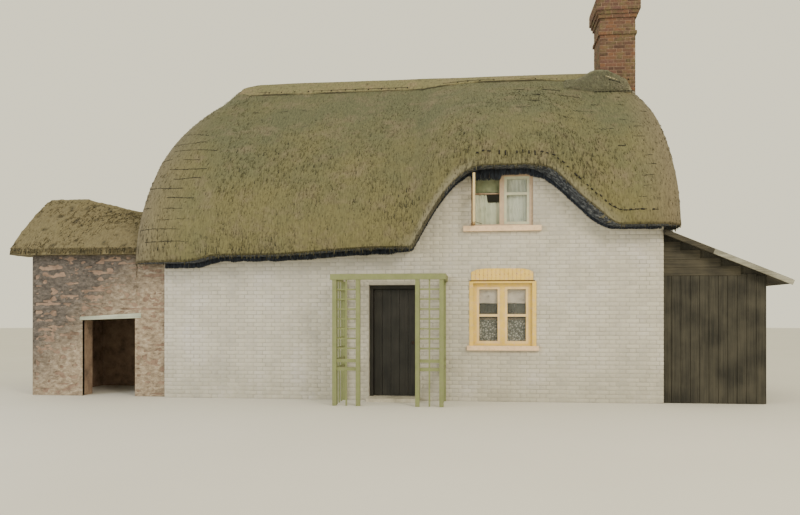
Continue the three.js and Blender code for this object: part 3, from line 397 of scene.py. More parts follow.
def mossy_reed():
    """Old reed of the low roof, yellow with moss"""
    return reed_material("7d7549", "7f7f44", "70654d")


def stack_reed():
    """Thatch heaped against the stack: old, olive and damp"""
    return reed_material("837f63", "777862", "867e6c")


def shaded_reed_butts():
    """Cut reed ends under the eaves, in ragged clumps of 70 mm: painted blue black as the shade there, since
    they are never lit
    """
    stops = [(0.4, "161b23"), (0.5, "363c47"), (0.62, "7f8489")]
    return textured(1.0, (14, 8, 0.8), stops, 0.03)


def shadow_dark_reed():
    """Reed packed under the thatch, painted blue black as the shade under the eaves, its reeds drawn 30 mm
    wide so that they show
    """
    stops = [(0.35, "20252f"), (0.6, "3b424f"), (0.75, "585d66")]
    return textured(1.0, (1, 3), stops, stretch=(30, 30, 8))


def hazel_and_painted_shade():
    """Split hazel rods: grey-brown bark outside, pale where split, near black where their tone is low, which
    paints shade on the dark stitches and rows
    """
    material, add, place = new_material(0.8)
    tone = add("Attribute", attribute_name="tone").outputs["Fac"]
    bark = add("TexNoise", place, 30, 4)
    mixed = add("Math", tone, bark, operation="MULTIPLY")
    return surface(material, add("ValToRGB", mixed, stops=[(0, "17150f"), (0.3, "4d4532"), (0.6, "cfc49c")]))


# Materials of the walls

def limewashed_brick():
    """Limewash brushed on hand-made brick: chalky, patchy, stained low down, darkened higher up by painted
    shade under the eaves
    """
    material, add, place = new_material(0.92)
    wash = bpy.context.scene.cottage_bricks.limewash
    tone = add("Attribute", attribute_name="tone").outputs["Fac"]
    height = add("SeparateXYZ", place).outputs["Z"]

    # Brushed in patches about 0.7 m wide, with mud splashed up in spots of 0.1 m
    brushed = add("TexNoise", place, 1.4, 6, 0.65)
    stained = add("ValToRGB", brushed, stops=[(0.3, "b9b5ac"), (0.5, wash), (0.7, "d3cec9")])
    foot = add("MapRange", height, 0, 0.9, 0.45, 0)
    splash = add("Math", foot, add("TexNoise", place, 9, 5), operation="MULTIPLY", use_clamp=True)
    soiled = add("Mix", splash, stained, "8c8a72", data_type="RGBA")

    # Each brick is worn in spots of 40 mm; its skin's grit is drawn 17 mm wide so that it shows
    uneven = add("Math", tone, add("TexNoise", place, 24, 5, 0.7), operation="MULTIPLY")
    # Higher up the wall each brick is darkened: painted shade under the eaves
    painted_eaves_shade = add("MapRange", height, 1.8, 3.2, 0, 0.17)
    uneven_and_shaded = add("Math", uneven, painted_eaves_shade, operation="SUBTRACT")
    per_brick = add("ValToRGB", uneven_and_shaded, stops=[(0.02, 0.91), (0.2, 0.98), (0.45, 1.03)])
    final = add("Mix", 1, soiled, per_brick, data_type="RGBA", blend_type="MULTIPLY")
    return surface(material, final, add("TexNoise", place, 60, 4), 0.4)


def washed_joints():
    """Limewashed mortar in the joints and on the plain inner faces: greyer than the bricks, worn"""
    stops = [(0.36, "a5a196"), (0.5, "b5b1a5"), (0.62, "bfbaae")]
    return textured(0.95, (3, 6, 0.7), stops)


def stock_brick():
    """Red bricks of the chimney: dull red to purple, soot-darkened, with olive moss in patches"""
    material, add, place = new_material(0.9)
    red = bpy.context.scene.cottage_bricks.red
    tone = add("Attribute", attribute_name="tone").outputs["Fac"]
    fired = add("ValToRGB", tone, stops=[(0, "49352b"), (0.35, red), (0.7, "73513b"), (1, "5e4441")])

    # Lichen grows in patches of 0.2 m; pits of a few millimetres are drawn 25 mm wide so that they show
    lichen = add("MapRange", add("TexNoise", place, 4.5, 5, 0.7), 0.46, 0.64, 0, 0.8)
    grown = add("Mix", lichen, fired, "66603f", data_type="RGBA")
    grit = add("TexNoise", place, 40, 4)
    pitted = add("ValToRGB", grit, stops=[(0.3, 0.72), (0.6, 1.1)])
    final = add("Mix", 1, grown, pitted, data_type="RGBA", blend_type="MULTIPLY")
    return surface(material, final, grit, 0.5)


def mottled(dark, middle, light, patches, roughness=0.95, relief=0.004):
    """A matt earthy surface in three shades, its patches given by how many lie in a metre."""
    return textured(roughness, (patches, 7, 0.7), [(0.32, dark), (0.5, middle), (0.68, light)], relief)


def lime_mortar():
    """Lime mortar between the chimney's bricks, paler than they are, stained by rain and soot"""
    return mottled("604e40", "7f6957", "937d6b", 14)


def cement_fillet():
    """Trowelled mortar where the chimney leaves the thatch: grey, hard and smooth"""
    return mottled("5f5a4e", "777164", "8b8577", 9, roughness=0.8)


def arch_joints():
    """Joints of the painted arch, filled with the same paint and a little darker"""
    return mottled("ad8a55", "c7a266", "dab877", 20)


def bare_brick():
    """Red brick where the arch's paint has flaked off its joints"""
    return mottled("9c6547", "b57d5a", "cb9a72", 20)


def earth_wall():
    """Rammed earth and rubble: pinkish grey, tan to the right and low down, with painted shade darkening its
    holes
    """
    material, add, place = new_material(1.0)
    tone = add("Attribute", attribute_name="tone").outputs["Fac"]
    where = add("SeparateXYZ", place).outputs

    # Clods and stones about 110 mm wide and 65 mm high, as ramming leaves them
    clods = add("TexNoise", add("Mapping", place, Scale=(1, 1, 1.7)), 9, 8, 0.8)
    pink = add("ValToRGB", clods, stops=[(0.32, "35312f"), (0.5, "5f5851"), (0.68, "827870")])
    tan = add("ValToRGB", clods, stops=[(0.32, "675b4e"), (0.5, "a2917b"), (0.68, "c9bba5")])
    wander = add("TexNoise", place, 1.7, 3)
    line = add("Math", wander, 1.2, where["Z"], operation="MULTIPLY_ADD")
    sloped = add("Math", where["X"], -0.9, line, operation="MULTIPLY_ADD")
    lower = add("MapRange", sloped, 6.9, 8.0, 0.95, 0)
    mixed = add("Mix", lower, pink, tan, data_type="RGBA")
    # The tone mixes in near black: painted shade in the holes and cracks
    return surface(material, add("Mix", tone, mixed, "2a2522", data_type="RGBA"), clods, 0.8, 0.015)


def plain_earth():
    """Bare inner faces of the earth walls"""
    return mottled("5f5043", "8d7665", "a58e78", 5, relief=0.01)


def worn_stone():
    """Door step of pale stone, worn smooth"""
    return mottled("a59f90", "c2bcac", "d6d1c2", 6, roughness=0.85)


def brick_floor():
    """Brick paving of the ground floor, dusty"""
    return mottled("6c4a3c", "8a6552", "9f7c66", 8)


# Materials of wood, paint, metal, cloth and glass

def grained(dark, light, roughness, along, specular=0.3):
    """Wood whose grain runs along one axis: weathered, or under a thin stain or tar."""
    material, add, place = new_material(roughness, Specular_IOR_Level=specular)

    # Grain lies 2 or 3 mm apart, drawn about 25 mm wide so that it shows
    stretch = {"x": (1.2, 40, 40), "z": (40, 40, 1.2)}[along]
    grain = add("TexNoise", add("Mapping", place, Scale=stretch), 1, 6, 0.7)
    weather = add("TexNoise", place, 2.2, 4)
    both = add("Math", grain, weather, operation="ADD")
    halved = add("Math", both, 0.5, operation="MULTIPLY")
    return surface(material, add("ValToRGB", halved, stops=[(0.38, dark), (0.6, light)]), grain, 0.5, 0.003)


def tarred_upright():
    """Tarred boards set upright: brown black, rubbed grey in places"""
    return grained("292823", "4a473d", 0.8, "z")


def tarred_level():
    """Tarred boards laid level"""
    return grained("2d2b25", "534e41", 0.8, "x")


def bleached_oak():
    """Old oak of the lintel, silvered by rain"""
    return grained("8f9482", "c0c5b3", 0.85, "x")


def silvered_edge():
    """Bare edge of the lean-to's roof boards"""
    return grained("6d6b60", "a5a394", 0.85, "x")


def scrubbed_boards():
    """Scrubbed floor boards upstairs"""
    return grained("6e5a40", "97805c", 0.75, "x")


def shaded_dark_oak():
    """Planks of the door and its frame under old dark varnish, drawn near black as painted shade under the
    porch
    """
    return grained("1c1d1c", "363431", 0.55, "z", specular=0.4)


def oil_paint(colour, under):
    """Oil paint brushed on softwood: low sheen, chalked, an older coat showing through in patches."""
    material, add, place = new_material(0.55, Specular_IOR_Level=0.4)

    # Chalked in patches of 170 mm, rubbed through in spots of 60 mm
    chalk = add("ValToRGB", add("TexNoise", place, 6, 6, 0.7), stops=[(0.3, 0.84), (0.65, 1.06)])
    washed = add("Mix", 1, colour, chalk, data_type="RGBA", blend_type="MULTIPLY")
    rubbed = add("TexNoise", place, 16, 5, 0.8)
    worn = add("MapRange", rubbed, 0.5, 0.66, 0, 0.75)
    return surface(material, add("Mix", worn, washed, under, data_type="RGBA"), rubbed, 0.2, 0.002)


def cream_oil():
    """Cream paint of the sills, browner where it has worn"""
    return oil_paint(bpy.context.scene.cottage_paint.cream, "d9b892")


def straw_oil():
    """Yellowed cream paint of the open leaf, seen edge on"""
    return oil_paint(bpy.context.scene.cottage_paint.straw, "c9a984")


def pink_oil():
    """Faded pink paint of the upper window's frame, yellow showing through it"""
    return oil_paint(bpy.context.scene.cottage_paint.pink, "dcc19a")


def pale_oil():
    """Pale green paint of the shut leaf, with pink patches"""
    return oil_paint(bpy.context.scene.cottage_paint.pale, "dbc6b5")


def yellow_oil():
    """Butter yellow paint of the lower window, chalking to a pinkish cream"""
    return oil_paint(bpy.context.scene.cottage_paint.yellow, "e6c0a8")


def butter_oil():
    """Paler, later coat on the lower window's leaves, pinkish where it has rubbed"""
    return oil_paint("f6d797", "e8c6b2")


def green_oil():
    """Grey green paint of the porch, bare wood showing in places"""
    return oil_paint(bpy.context.scene.cottage_paint.green, "89876a")


def forged_iron():
    """Hinges and stays of forged iron, blackened and rusting in spots of 30 mm: dull, dark brown"""
    return textured(0.6, (30, 5), [(0.4, "2a2622"), (0.65, "5a3f30")], Metallic=0.6)


def drawn_glass(roughness, alpha, dark, light):
    """Old drawn glass: a faint cast, soft gloss, wavy every 0.2 m."""
    return textured(roughness, (5, 2), [(0.3, dark), (0.7, light)], 0.003, Alpha=alpha, IOR=1.5)


def window_glass():
    """Panes of the front windows: nearly clear, so that the cloths behind them show"""
    return drawn_glass(0.1, 0.17, "878b86", "a9ada8")


def shaded_glass():
    """Panes of the back windows: dark from outside, the dim room behind them painted into the glass as shade,
    letting hardly any light through
    """
    return drawn_glass(0.2, 0.97, "1d211f", "2e3431")


def plain_weave(light, dark):
    """Plain woven cotton or linen, washed thin: matt, faint weave, soft folds."""
    material, add, place = new_material(0.9, Specular_IOR_Level=0.2)
    colour = add("ValToRGB", add("TexNoise", place, 5, 4), stops=[(0.3, dark), (0.65, light)])

    # Threads lie under 1 mm apart, drawn as bands about 3 mm wide so that they show
    return surface(material, colour, add("TexWave", place, 90, bands_direction="X"), 0.1, 0.002)


def washed_cotton():
    """Thin cotton of the left bedroom curtain: pale green white"""
    return plain_weave("cbd2be", "b0bba6")


def cotton_painted_lighter():
    """The right bedroom curtain, behind its pane: the same cotton, painted lighter than the left one to make
    up for the glass and the shade in front of it
    """
    return plain_weave("f4fbee", "d4dfd0")


def olive_linen():
    """Shade drawn across the open light: grey olive, darker where it is bunched"""
    return plain_weave("9ea78c", "757f64")


def blind_linen():
    """Stout linen of the parlour blind: pale, a little pink"""
    return plain_weave("f6eee6", "ded5cb")


def net_lace():
    """Machine lace: white flowers on a net, with the dark room between them painted in as shade"""
    material, add, place = new_material(0.9)

    # Flowers 37 mm apart, on a net of 2 mm that is drawn 14 mm wide so that it shows
    both = add("Math", add("TexVoronoi", place, 27), add("TexNoise", place, 70, 3), operation="MULTIPLY")
    # The dark stop between the flowers is the room behind: painted shade
    stops = [(0.08, "d0d0ca"), (0.17, "8b8e8a"), (0.32, "484d4a")]
    return surface(material, add("ValToRGB", both, stops=stops))


def studio_floor():
    """Matt pale backdrop paper"""
    return textured(0.9, (0.3, 3), [(0.3, "d6d3ca"), (0.7, "dad7cf")])


def finish(maker):
    """The material that a maker makes, made once and named for it."""
    material = bpy.data.materials.get(maker.__name__)
    if material is None:
        material = maker()
        material.name = maker.__name__
    return material


# Making pieces

def piece_of_mesh(name, mesh, makers, body="house"):
    """An object from a mesh, in its materials and riding on its body."""
    for maker in makers:
        mesh.materials.append(finish(maker))
    piece = bpy.data.objects.new(name, mesh)
    bpy.context.collection.objects.link(piece)
    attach(piece, body)
    return piece


def piece_from(name, bm, makers, body="house", smooth=False):
    """An object from a finished bmesh."""
    mesh = bpy.data.meshes.new(name)
    bm.to_mesh(mesh)
    bm.free()
    if smooth:
        mesh.shade_smooth()
    return piece_of_mesh(name, mesh, makers, body)


def combed_grid(columns, rows):
    """A grid one metre square about the origin, with the attributes that the reed materials read."""
    bm = bmesh.new()
    flow_layer = bm.verts.layers.float_vector.new("flow")
    tone_layer = bm.verts.layers.float.new("tone")
    bmesh.ops.create_grid(bm, x_segments=columns, y_segments=rows, size=0.5)
    return bm, flow_layer, tone_layer


def template_of(bm):
    """The points and faces of a small shape that is copied many times."""
    bm.verts.index_update()
    points = np.array([vert.co[:] for vert in bm.verts])
    faces = [[vert.index for vert in face.verts] for face in bm.faces]
    bm.free()
    return points, faces


def copies(name, template, rows, makers):
    """One object of many copies of a template, from rows of place, tone and, for thatch, flow."""
    points, faces = template
    places, tones, *flows = zip(*rows)
    matrices = np.array([[list(row) for row in place] for place in places])
    moved = np.einsum("nij,pj->npi", matrices[:, :3, :3], points) + matrices[:, None, :3, 3]
    count, total = len(points), len(places)
    corners = np.concatenate(faces)
    starts = np.cumsum([0] + [len(face) for face in faces[:-1]])
    step = np.arange(total)[:, None]
    mesh = bpy.data.meshes.new(name)
    mesh.vertices.add(total * count)
    mesh.loops.add(total * len(corners))
    mesh.polygons.add(total * len(faces))
    mesh.vertices.foreach_set("co", moved.astype(np.float32).ravel())
    mesh.loops.foreach_set("vertex_index", (corners + step * count).astype(np.int32).ravel())
    mesh.polygons.foreach_set("loop_start", (starts + step * len(corners)).astype(np.int32).ravel())
    tone = mesh.attributes.new("tone", "FLOAT", "POINT")
    tone.data.foreach_set("value", np.repeat(np.array(tones, np.float32), count))
    for values in flows:
        flow = mesh.attributes.new("flow", "FLOAT_VECTOR", "POINT")
        flow.data.foreach_set("vector", np.repeat(np.array(values, np.float32), count, axis=0).ravel())
    mesh.update(calc_edges=True)
    mesh.validate()
    return piece_of_mesh(name, mesh, makers)


def box_into(bm, lowest, highest, turn=Matrix.Identity(4)):
    """A box between two corners, turned about its middle, added to a bmesh."""
    lowest, highest = Vector(lowest), Vector(highest)
    size = Matrix.Diagonal((*(highest - lowest), 1))
    bmesh.ops.create_cube(bm, size=1.0, matrix=Matrix.Translation((lowest + highest) / 2) @ turn @ size)


def soften(bm, offset, segments=1):
    """Bevel every edge of what the bmesh holds."""
    bmesh.ops.bevel(
        bm, geom=list(bm.edges), offset=offset, segments=segments, profile=0.5, affect="EDGES", material=-1,
    )


def rod_between(start, end, radius):
    """The matrix that lays a rod template, one metre long, from start to end."""
    run = end - start
    turn = run.to_track_quat("Z", "Y").to_matrix().to_4x4()
    return Matrix.Translation(start) @ turn @ Matrix.Diagonal((radius, radius, run.length, 1))


def rod_into(bm, place, sides, radius, tip=None, length=1.0, lift=0.0):
    """A closed rod along the Z of its place, added to a bmesh. Its tip may have a radius of its own."""
    tip = radius if tip is None else tip
    bmesh.ops.create_cone(
        bm, cap_ends=True, segments=sides, radius1=radius, radius2=tip, depth=length,
        matrix=place @ Matrix.Translation((0, 0, lift)),
    )


def rod_template(sides=5, tip=1.0):
    """A closed rod along Z, one metre long and of radius one, tapering to its tip."""
    bm = bmesh.new()
    rod_into(bm, Matrix.Identity(4), sides, 1.0, tip, lift=0.5)
    return template_of(bm)


# The form of the thatch

def smooth_step(share):
    """A rise from 0 to 1 that starts and ends level."""
    s = min(max(share, 0.0), 1.0)
    return s * s * (3 - 2 * s)


def plain_eave(x):
    """Height of the eaves without the brow: a step up at the left, and another where the brow falls."""
    first = (EAVES.left - EAVES.corner) * smooth_step((x - EAVES.rise_start) / EAVES.rise_run)
    second = (EAVES.middle - EAVES.left) * smooth_step((x - EAVES.middle_start) / EAVES.middle_run)
    left = EAVES.corner + first + second
    return left + (EAVES.right - left) * smooth_step((x - EAVES.brow_fall) / EAVES.brow_right_run)


def front_eave(x):
    """Height of the eaves along the front, lifted in a brow over the upper window."""
    if x < EAVES.brow_middle:
        share = min(max((x - EAVES.brow_start) / EAVES.brow_left_run, 0.0), 1.0)
        base = plain_eave(x)
        return base + (EAVES.crown - base) * smooth_step(share ** EAVES.brow_left_power)
    fall = smooth_step((x - EAVES.brow_fall) / EAVES.brow_right_run)
    return EAVES.crown - (EAVES.crown - EAVES.right) * fall


def front_lip(x):
    """Height of the thatch's lip, which stands over the wall's top on the right flank of the brow."""
    lifted = smooth_step((x - LIP.start) / LIP.rise) * smooth_step((LIP.end - x) / LIP.fall)
    return front_eave(x) + LIP.top * lifted


def half_depth(level):
    """Distance from the ridge line to the front or back slope at a level between eaves and ridge."""
    return ROOF.half * (1 - level ** ROOF.front_power)


def end_edge(side, level):
    """Where along X the middle of a hip lies at a level."""
    if side == "left":
        return ROOF.ridge_left - (ROOF.ridge_left - ROOF.left) * (1 - level ** ROOF.left_power)
    return ROOF.ridge_right + (ROOF.right - ROOF.ridge_right) * (1 - level ** ROOF.right_power)


def end_plan(side, along, edge, half, radius):
    """A point on the plan of a hip: shoulder, corner, end, corner, shoulder, from one split to the other.

    It returns x, y from the ridge, and whether the point lies on a shoulder.
    """
    inward, split, turn = (1, SPLIT.left, 1 - along) if side == "left" else (-1, SPLIT.right, along)
    mirrored = turn > 0.5
    share = (1 - turn if mirrored else turn) * 2
    shoulder = abs(end_edge(side, 0) + inward * ROOF.corner - split)
    arc = ROOF.corner * math.pi / 2
    straight = ROOF.half - ROOF.corner
    run = share * (shoulder + arc + straight)
    corner = edge + inward * radius
    if run < shoulder:
        x, y = split + (corner - split) * (run / shoulder), -half
    elif run < shoulder + arc:
        angle = (run - shoulder) / arc * math.pi / 2
        x = corner - inward * radius * math.sin(angle)
        y = -half + radius - radius * math.cos(angle)
    else:
        x, y = edge, (-half + radius) * (1 - (run - shoulder - arc) / straight)
    return x, -y if mirrored else y, run < shoulder


def x_along(side, along):
    """Where a share of the front or of the back lies."""
    return SPLIT.left + (SPLIT.right - SPLIT.left) * (along if side == "front" else 1 - along)


def eave_at(side, along, line=front_lip):
    """Height of the lip, or of the wall's top, and the distance along it, at a share of one side."""
    if side in ("front", "back"):
        x = x_along(side, along)
        return (line(x) if side == "front" else plain_eave(x)), x
    x, y, on_shoulder = end_plan(side, along, end_edge(side, 0), ROOF.half, ROOF.corner)
    around = SPLIT.left - (1 - along) * END_LENGTH if side == "left" else SPLIT.right + along * END_LENGTH
    if on_shoulder:
        return (line(x) if y < 0 else plain_eave(x)), around
    return (EAVES.corner if side == "left" else EAVES.right), around


def roof_point(side, along, level):
    """A point of the thatch's surface: along one side, and up from eaves (0) to ridge (1)."""
    eave, _ = eave_at(side, along)
    half = half_depth(level)
    if side in ("front", "back"):
        x, y = x_along(side, along), (-half if side == "front" else half)
    else:
        x, y, _ = end_plan(side, along, end_edge(side, level), half, min(ROOF.corner, half * 0.98))
    return Vector((x, y + RIDGE_Y, eave + (ROOF.ridge - eave) * level))


def wall_point(side, along):
    """The point of the wall's outer face that lies in from a point of the lip."""
    eave, _ = eave_at(side, along, front_eave)
    if side in ("front", "back"):
        x, y = x_along(side, along), (-RIDGE_Y if side == "front" else RIDGE_Y)
    else:
        x, y, _ = end_plan(side, along, WALL_LEFT if side == "left" else WALL_RIGHT, RIDGE_Y, 0.05)
    return Vector((x, y + RIDGE_Y, eave))


def end_level(share, power):
    """The level of a slope over a share of its reach, bent by its power."""
    return max(1 - share, 0.0) ** (1 / power) if share > 0 else 1.0


def lip_over(x, y):
    """Height of the lip on the side of the ridge where a point lies."""
    return front_lip(x) if y < RIDGE_Y else plain_eave(x)


def roof_height(x, y):
    """Height of the frame's thatch over any point of the plan."""
    slope = end_level(abs(y - RIDGE_Y) / ROOF.half, ROOF.front_power)
    left = end_level((ROOF.ridge_left - x) / (ROOF.ridge_left - ROOF.left), ROOF.left_power)
    right = end_level((x - ROOF.ridge_right) / (ROOF.right - ROOF.ridge_right), ROOF.right_power)
    lip = lip_over(x, y)
    return lip + (ROOF.ridge - lip) * min(slope, left, right)


def slope_length(eave):
    """Length of the slope from an eave to the ridge."""
    return math.hypot(ROOF.half, ROOF.ridge - eave)


def flow_at(side, along, level):
    """Where a point lies on the slope: along it, down it from the ridge, and its height over the lip."""
    eave, around = eave_at(side, along)
    up = math.hypot(ROOF.half * level ** ROOF.front_power, (ROOF.ridge - eave) * level)
    return Vector((around, slope_length(eave) - up, (ROOF.ridge - eave) * level))


def coat_point(side, along, up):
    """A point of the coat, from the wall out under the eaves and then up the slope, and its flow."""
    if up < COAT.soffit:
        share = up / COAT.soffit
        eave, around = eave_at(side, along)
        place = wall_point(side, along).lerp(roof_point(side, along, 0), share)
        return place, Vector((around, slope_length(eave) + (1 - share) * COAT.under_eaves, 0))
    level = (up - COAT.soffit) / (1 - COAT.soffit) * COAT.top_level
    return roof_point(side, along, level), flow_at(side, along, level)


def coat_lift(place, flow):
    """How far the combed coat swells and dips, and its bundles show."""
    swell = noise.noise(place * 0.8) * 0.011
    bundles = noise.noise(Vector((flow.x * 6, flow.y * 0.9, 3))) * 0.005
    comb = noise.noise(Vector((flow.x * 20, flow.y * 3.2, 7))) * 0.004
    return swell + bundles + comb


def coat(side, columns, rows):
    """The combed outer coat of one side of the roof, closed all round."""
    settings = bpy.context.scene.cottage_thatch
    bm, flow_layer, tone_layer = combed_grid(columns, rows)
    soffit = {}
    for vert in bm.verts:
        along, up = vert.co.x + 0.5, vert.co.y + 0.5
        vert.co, vert[flow_layer] = coat_point(side, along, up)
        soffit[vert] = up / COAT.soffit
    bm.normal_update()
    for vert in bm.verts:
        flow = vert[flow_layer]
        if soffit[vert] < 1.0:
            ragged = noise.noise(Vector((flow.x * 30, 0, 2))) * 0.012
            vert.co.z += ragged * soffit[vert] - 0.006
            # Soffit reed is toned dark: painted shade under the eaves
            vert[tone_layer] = 0.6
        else:
            vert.co += vert.normal * (settings.proud + coat_lift(vert.co.copy(), flow))
    # Soffit faces take the near-black painted shade of the cut ends, except on the brow's flank that faces
    # the light, where they keep the reed, darkened by its tone as a lighter painted shade
    for face in bm.faces:
        lit_flank = side == "front" and 0.1 < face.verts[0].co.x < 0.75
        under = all(soffit[vert] < 0.97 for vert in face.verts)
        face.material_index = 1 if under and not lit_flank else 0
        face.smooth = True
    bmesh.ops.solidify(bm, geom=list(bm.faces), thickness=settings.coat)
    bm.normal_update()
    for edge in bm.edges:
        edge.smooth = edge.calc_face_angle(0.0) < 0.9
    return piece_from(f"thatch_coat_{side}", bm, [weathered_reed, shaded_reed_butts])


def surface_frame(side, along, level):
    """A point of the slope, the way down it and the way out of it."""
    here = roof_point(side, along, level)
    if level > 0.01:
        down = roof_point(side, along, level - 0.01) - here
    else:
        down = here - roof_point(side, along, 0.02)
    beside = roof_point(side, min(along + 0.002, 1), level) - roof_point(side, max(along - 0.002, 0), level)
    out = down.cross(beside)
    if beside.length < 1e-6 or out.length < 1e-9:
        out = UP.copy()
    return here, down.normalized(), out.normalized()


def loose_reeds(side, count, seed):
    """Reed ends that stand a little out of the slope, butts down."""
    settings = bpy.context.scene.cottage_thatch
    rng = random.Random(seed)
    rows = []
    for _ in range(count):
        along, level = rng.random(), rng.random() ** 1.15 * 0.97
        here, down, out = surface_frame(side, along, level)
        length = rng.uniform(0.03, 0.09)
        start = here + out * (settings.proud - 0.004 + rng.uniform(0, 0.006))
        end = start + down * length + out * rng.uniform(0.001, 0.008)
        place = rod_between(end, start, settings.reed_radius * rng.uniform(0.7, 1.3))
        rows.append((place, rng.choice([0.0, 0.0, 0.0, 0.08, 0.16, 0.35]), flow_at(side, along, level)))
    return copies(f"loose_reeds_{side}", rod_template(3, 0.3), rows, [weathered_reed])


def shadow_gap_share(x, over_lip):
    """How likely a dark gap is: many in a band over the left eaves, few elsewhere."""
    left = smooth_step((1.2 - x) / 1.5)
    band = math.exp(-((over_lip - 0.5) / 0.32) ** 2)
    return 0.03 + left * (0.85 * band + 0.12 * math.exp(-over_lip / 0.8))


def shadow_gaps(side, count, seed):
    """Short dark rods in the gaps between reed ends, their darkness painted shade."""
    settings = bpy.context.scene.cottage_thatch
    rng = random.Random(seed)
    rows = []
    while len(rows) < count:
        along, level = rng.random(), rng.random() ** 1.6 * 0.95
        here, down, out = surface_frame(side, along, level)
        if rng.random() > shadow_gap_share(here.x, here.z - eave_at(side, along)[0]):
            continue
        start = here + out * (settings.proud - 0.003)
        end = start + down * rng.uniform(0.04, 0.11)
        place = rod_between(end, start, rng.uniform(0.005, 0.01))
        # Dark tone on each rod: painted shade in the gap
        rows.append((place, rng.uniform(0.55, 0.95), flow_at(side, along, level)))
    return copies(f"shadow_gaps_{side}", rod_template(4, 0.5), rows, [weathered_reed])


def row_marks(name, side, reach, heights, dashes, gaps, seed):
    """Rows where the fixings pull the reed in, seen as broken dark lines along the slope: dark rods of
    painted shade in the dips.
    """
    settings = bpy.context.scene.cottage_thatch
    rng = random.Random(seed)
    width = END_LENGTH if side in ("left", "right") else SPLIT.right - SPLIT.left
    stitch = 0.07
    step = stitch / width * (1 if reach[1] > reach[0] else -1)
    rows = []
    height = heights[0]
    while height < heights[1]:
        along = reach[0] + step * rng.uniform(0, 8)
        dash, gap = rng.uniform(*dashes), 0.0
        while (reach[1] - along) * step > 0:
            if dash > 0:
                wander = noise.noise(Vector((along * width * 1.7, height * 5, seed))) * 0.05
                eave, _ = eave_at(side, along)
                level = (height + wander - eave) / (ROOF.ridge - eave)
                if 0.01 < level < 0.97:
                    here, _, out = surface_frame(side, along, level)
                    ahead, _, _ = surface_frame(side, along + step, level + rng.uniform(-0.002, 0.002))
                    lift = out * settings.proud
                    place = rod_between(here + lift, ahead + lift, rng.uniform(0.005, 0.011))
                    # Their tone mixes in the shaded straw: painted shade in the dip
                    rows.append((place, rng.uniform(0.75, 0.98), flow_at(side, along, level)))
                dash -= stitch
                gap = rng.uniform(*gaps)
            else:
                gap -= stitch
                if gap <= 0:
                    dash = rng.uniform(*dashes)
            along += step
        height += settings.course * rng.uniform(0.95, 1.05)
    return copies(name, rod_template(4, 0.7), rows, [weathered_reed])


def eave_fringe(side, pitch, seed):
    """Cut reed ends hanging at the lip of the eaves; the inner row, under the lip, is painted dark as shade.
    """
    settings = bpy.context.scene.cottage_thatch
    rng = random.Random(seed)
    length = END_LENGTH if side in ("left", "right") else SPLIT.right - SPLIT.left
    count = int(length / pitch)
    rows = []
    for index in range(count):
        along = (index + rng.random()) / count
        eave, around = eave_at(side, along)
        _, down, out = surface_frame(side, along, 0.03)
        for inner in (False, True):
            lip = roof_point(side, along, 0).lerp(wall_point(side, along), 0.07 if inner else 0.0)
            end = lip + down * rng.uniform(-0.006, 0.014) + out * rng.uniform(0.0, 0.01)
            start = lip - down * 0.05 + UP * 0.012
            place = rod_between(end, start, settings.reed_radius * rng.uniform(0.8, 1.4))
            # The inner row, back under the lip, is toned dark: painted shade
            tone = 0.85 if inner else rng.choice([0.0, 0.1, 0.3])
            rows.append((place, tone, (around, slope_length(eave), 3 if inner else 0)))
    return copies(f"fringe_{side}", rod_template(3, 0.6), rows, [weathered_reed])


# Ridge, rods and fixings of the roof

def over_ridge(x, across, lift):
    """A point over the sedge cap, at a distance from the ridge line."""
    thinned = 1 - 0.5 * min(abs(across) / RIDGE_CAP.skirt, 1) ** 4
    return Vector((x, RIDGE_Y + across, roof_height(x, RIDGE_Y + across) + RIDGE_CAP.lift * thinned + lift))


def ridge_coat():
    """Sedge cap bent over the ridge, thinned out to a trimmed lower edge on each side, with painted shade
    along that edge.
    """
    run_out = 0.4
    left, right = RIDGE_CAP.left - run_out, RIDGE_CAP.right
    bm, flow_layer, tone_layer = combed_grid(280, 28)
    for vert in bm.verts:
        x = left + (right - left) * (vert.co.x + 0.5)
        across = vert.co.y * 2 * RIDGE_CAP.skirt * (0.7 + 0.3 * smooth_step((x - left) / run_out))
        if abs(vert.co.y) > 0.49:
            across *= 1 + noise.noise(Vector((x * 22, across, 0))) * 0.03
        vert.co = (x, RIDGE_Y + across, roof_height(x, RIDGE_Y + across))
        vert[flow_layer] = (x + 90, abs(across) * 1.4, 3)
    bm.normal_update()
    for vert in bm.verts:
        u, v, _ = vert[flow_layer]
        share = min(abs(vert.co.y - RIDGE_Y) / RIDGE_CAP.skirt, 1)
        thinned = (1 - 0.5 * share ** 4) * smooth_step((vert.co.x - left) / run_out)
        swell = noise.noise(vert.co * 0.9) * 0.012
        comb = noise.noise(Vector((u * 26, v * 4, 1))) * 0.004
        vert.co += vert.normal * (RIDGE_CAP.lift * thinned + 0.008 + swell * thinned + comb)
        specks = max(noise.noise(Vector((u * 16, v * 7, 4))) - 0.2, 0.0) * 1.2
        # Along the trimmed lower edge the tone paints shade in broken stretches
        edge = 0.8 * smooth_step(noise.noise(Vector((u * 1.5, 0, 9))) * 2 + 0.7) if share > 0.96 else 0.0
        vert[tone_layer] = max(specks, edge)
    bmesh.ops.solidify(bm, geom=list(bm.faces), thickness=0.05)
    return piece_from("ridge_sedge", bm, [sedge], smooth=True)


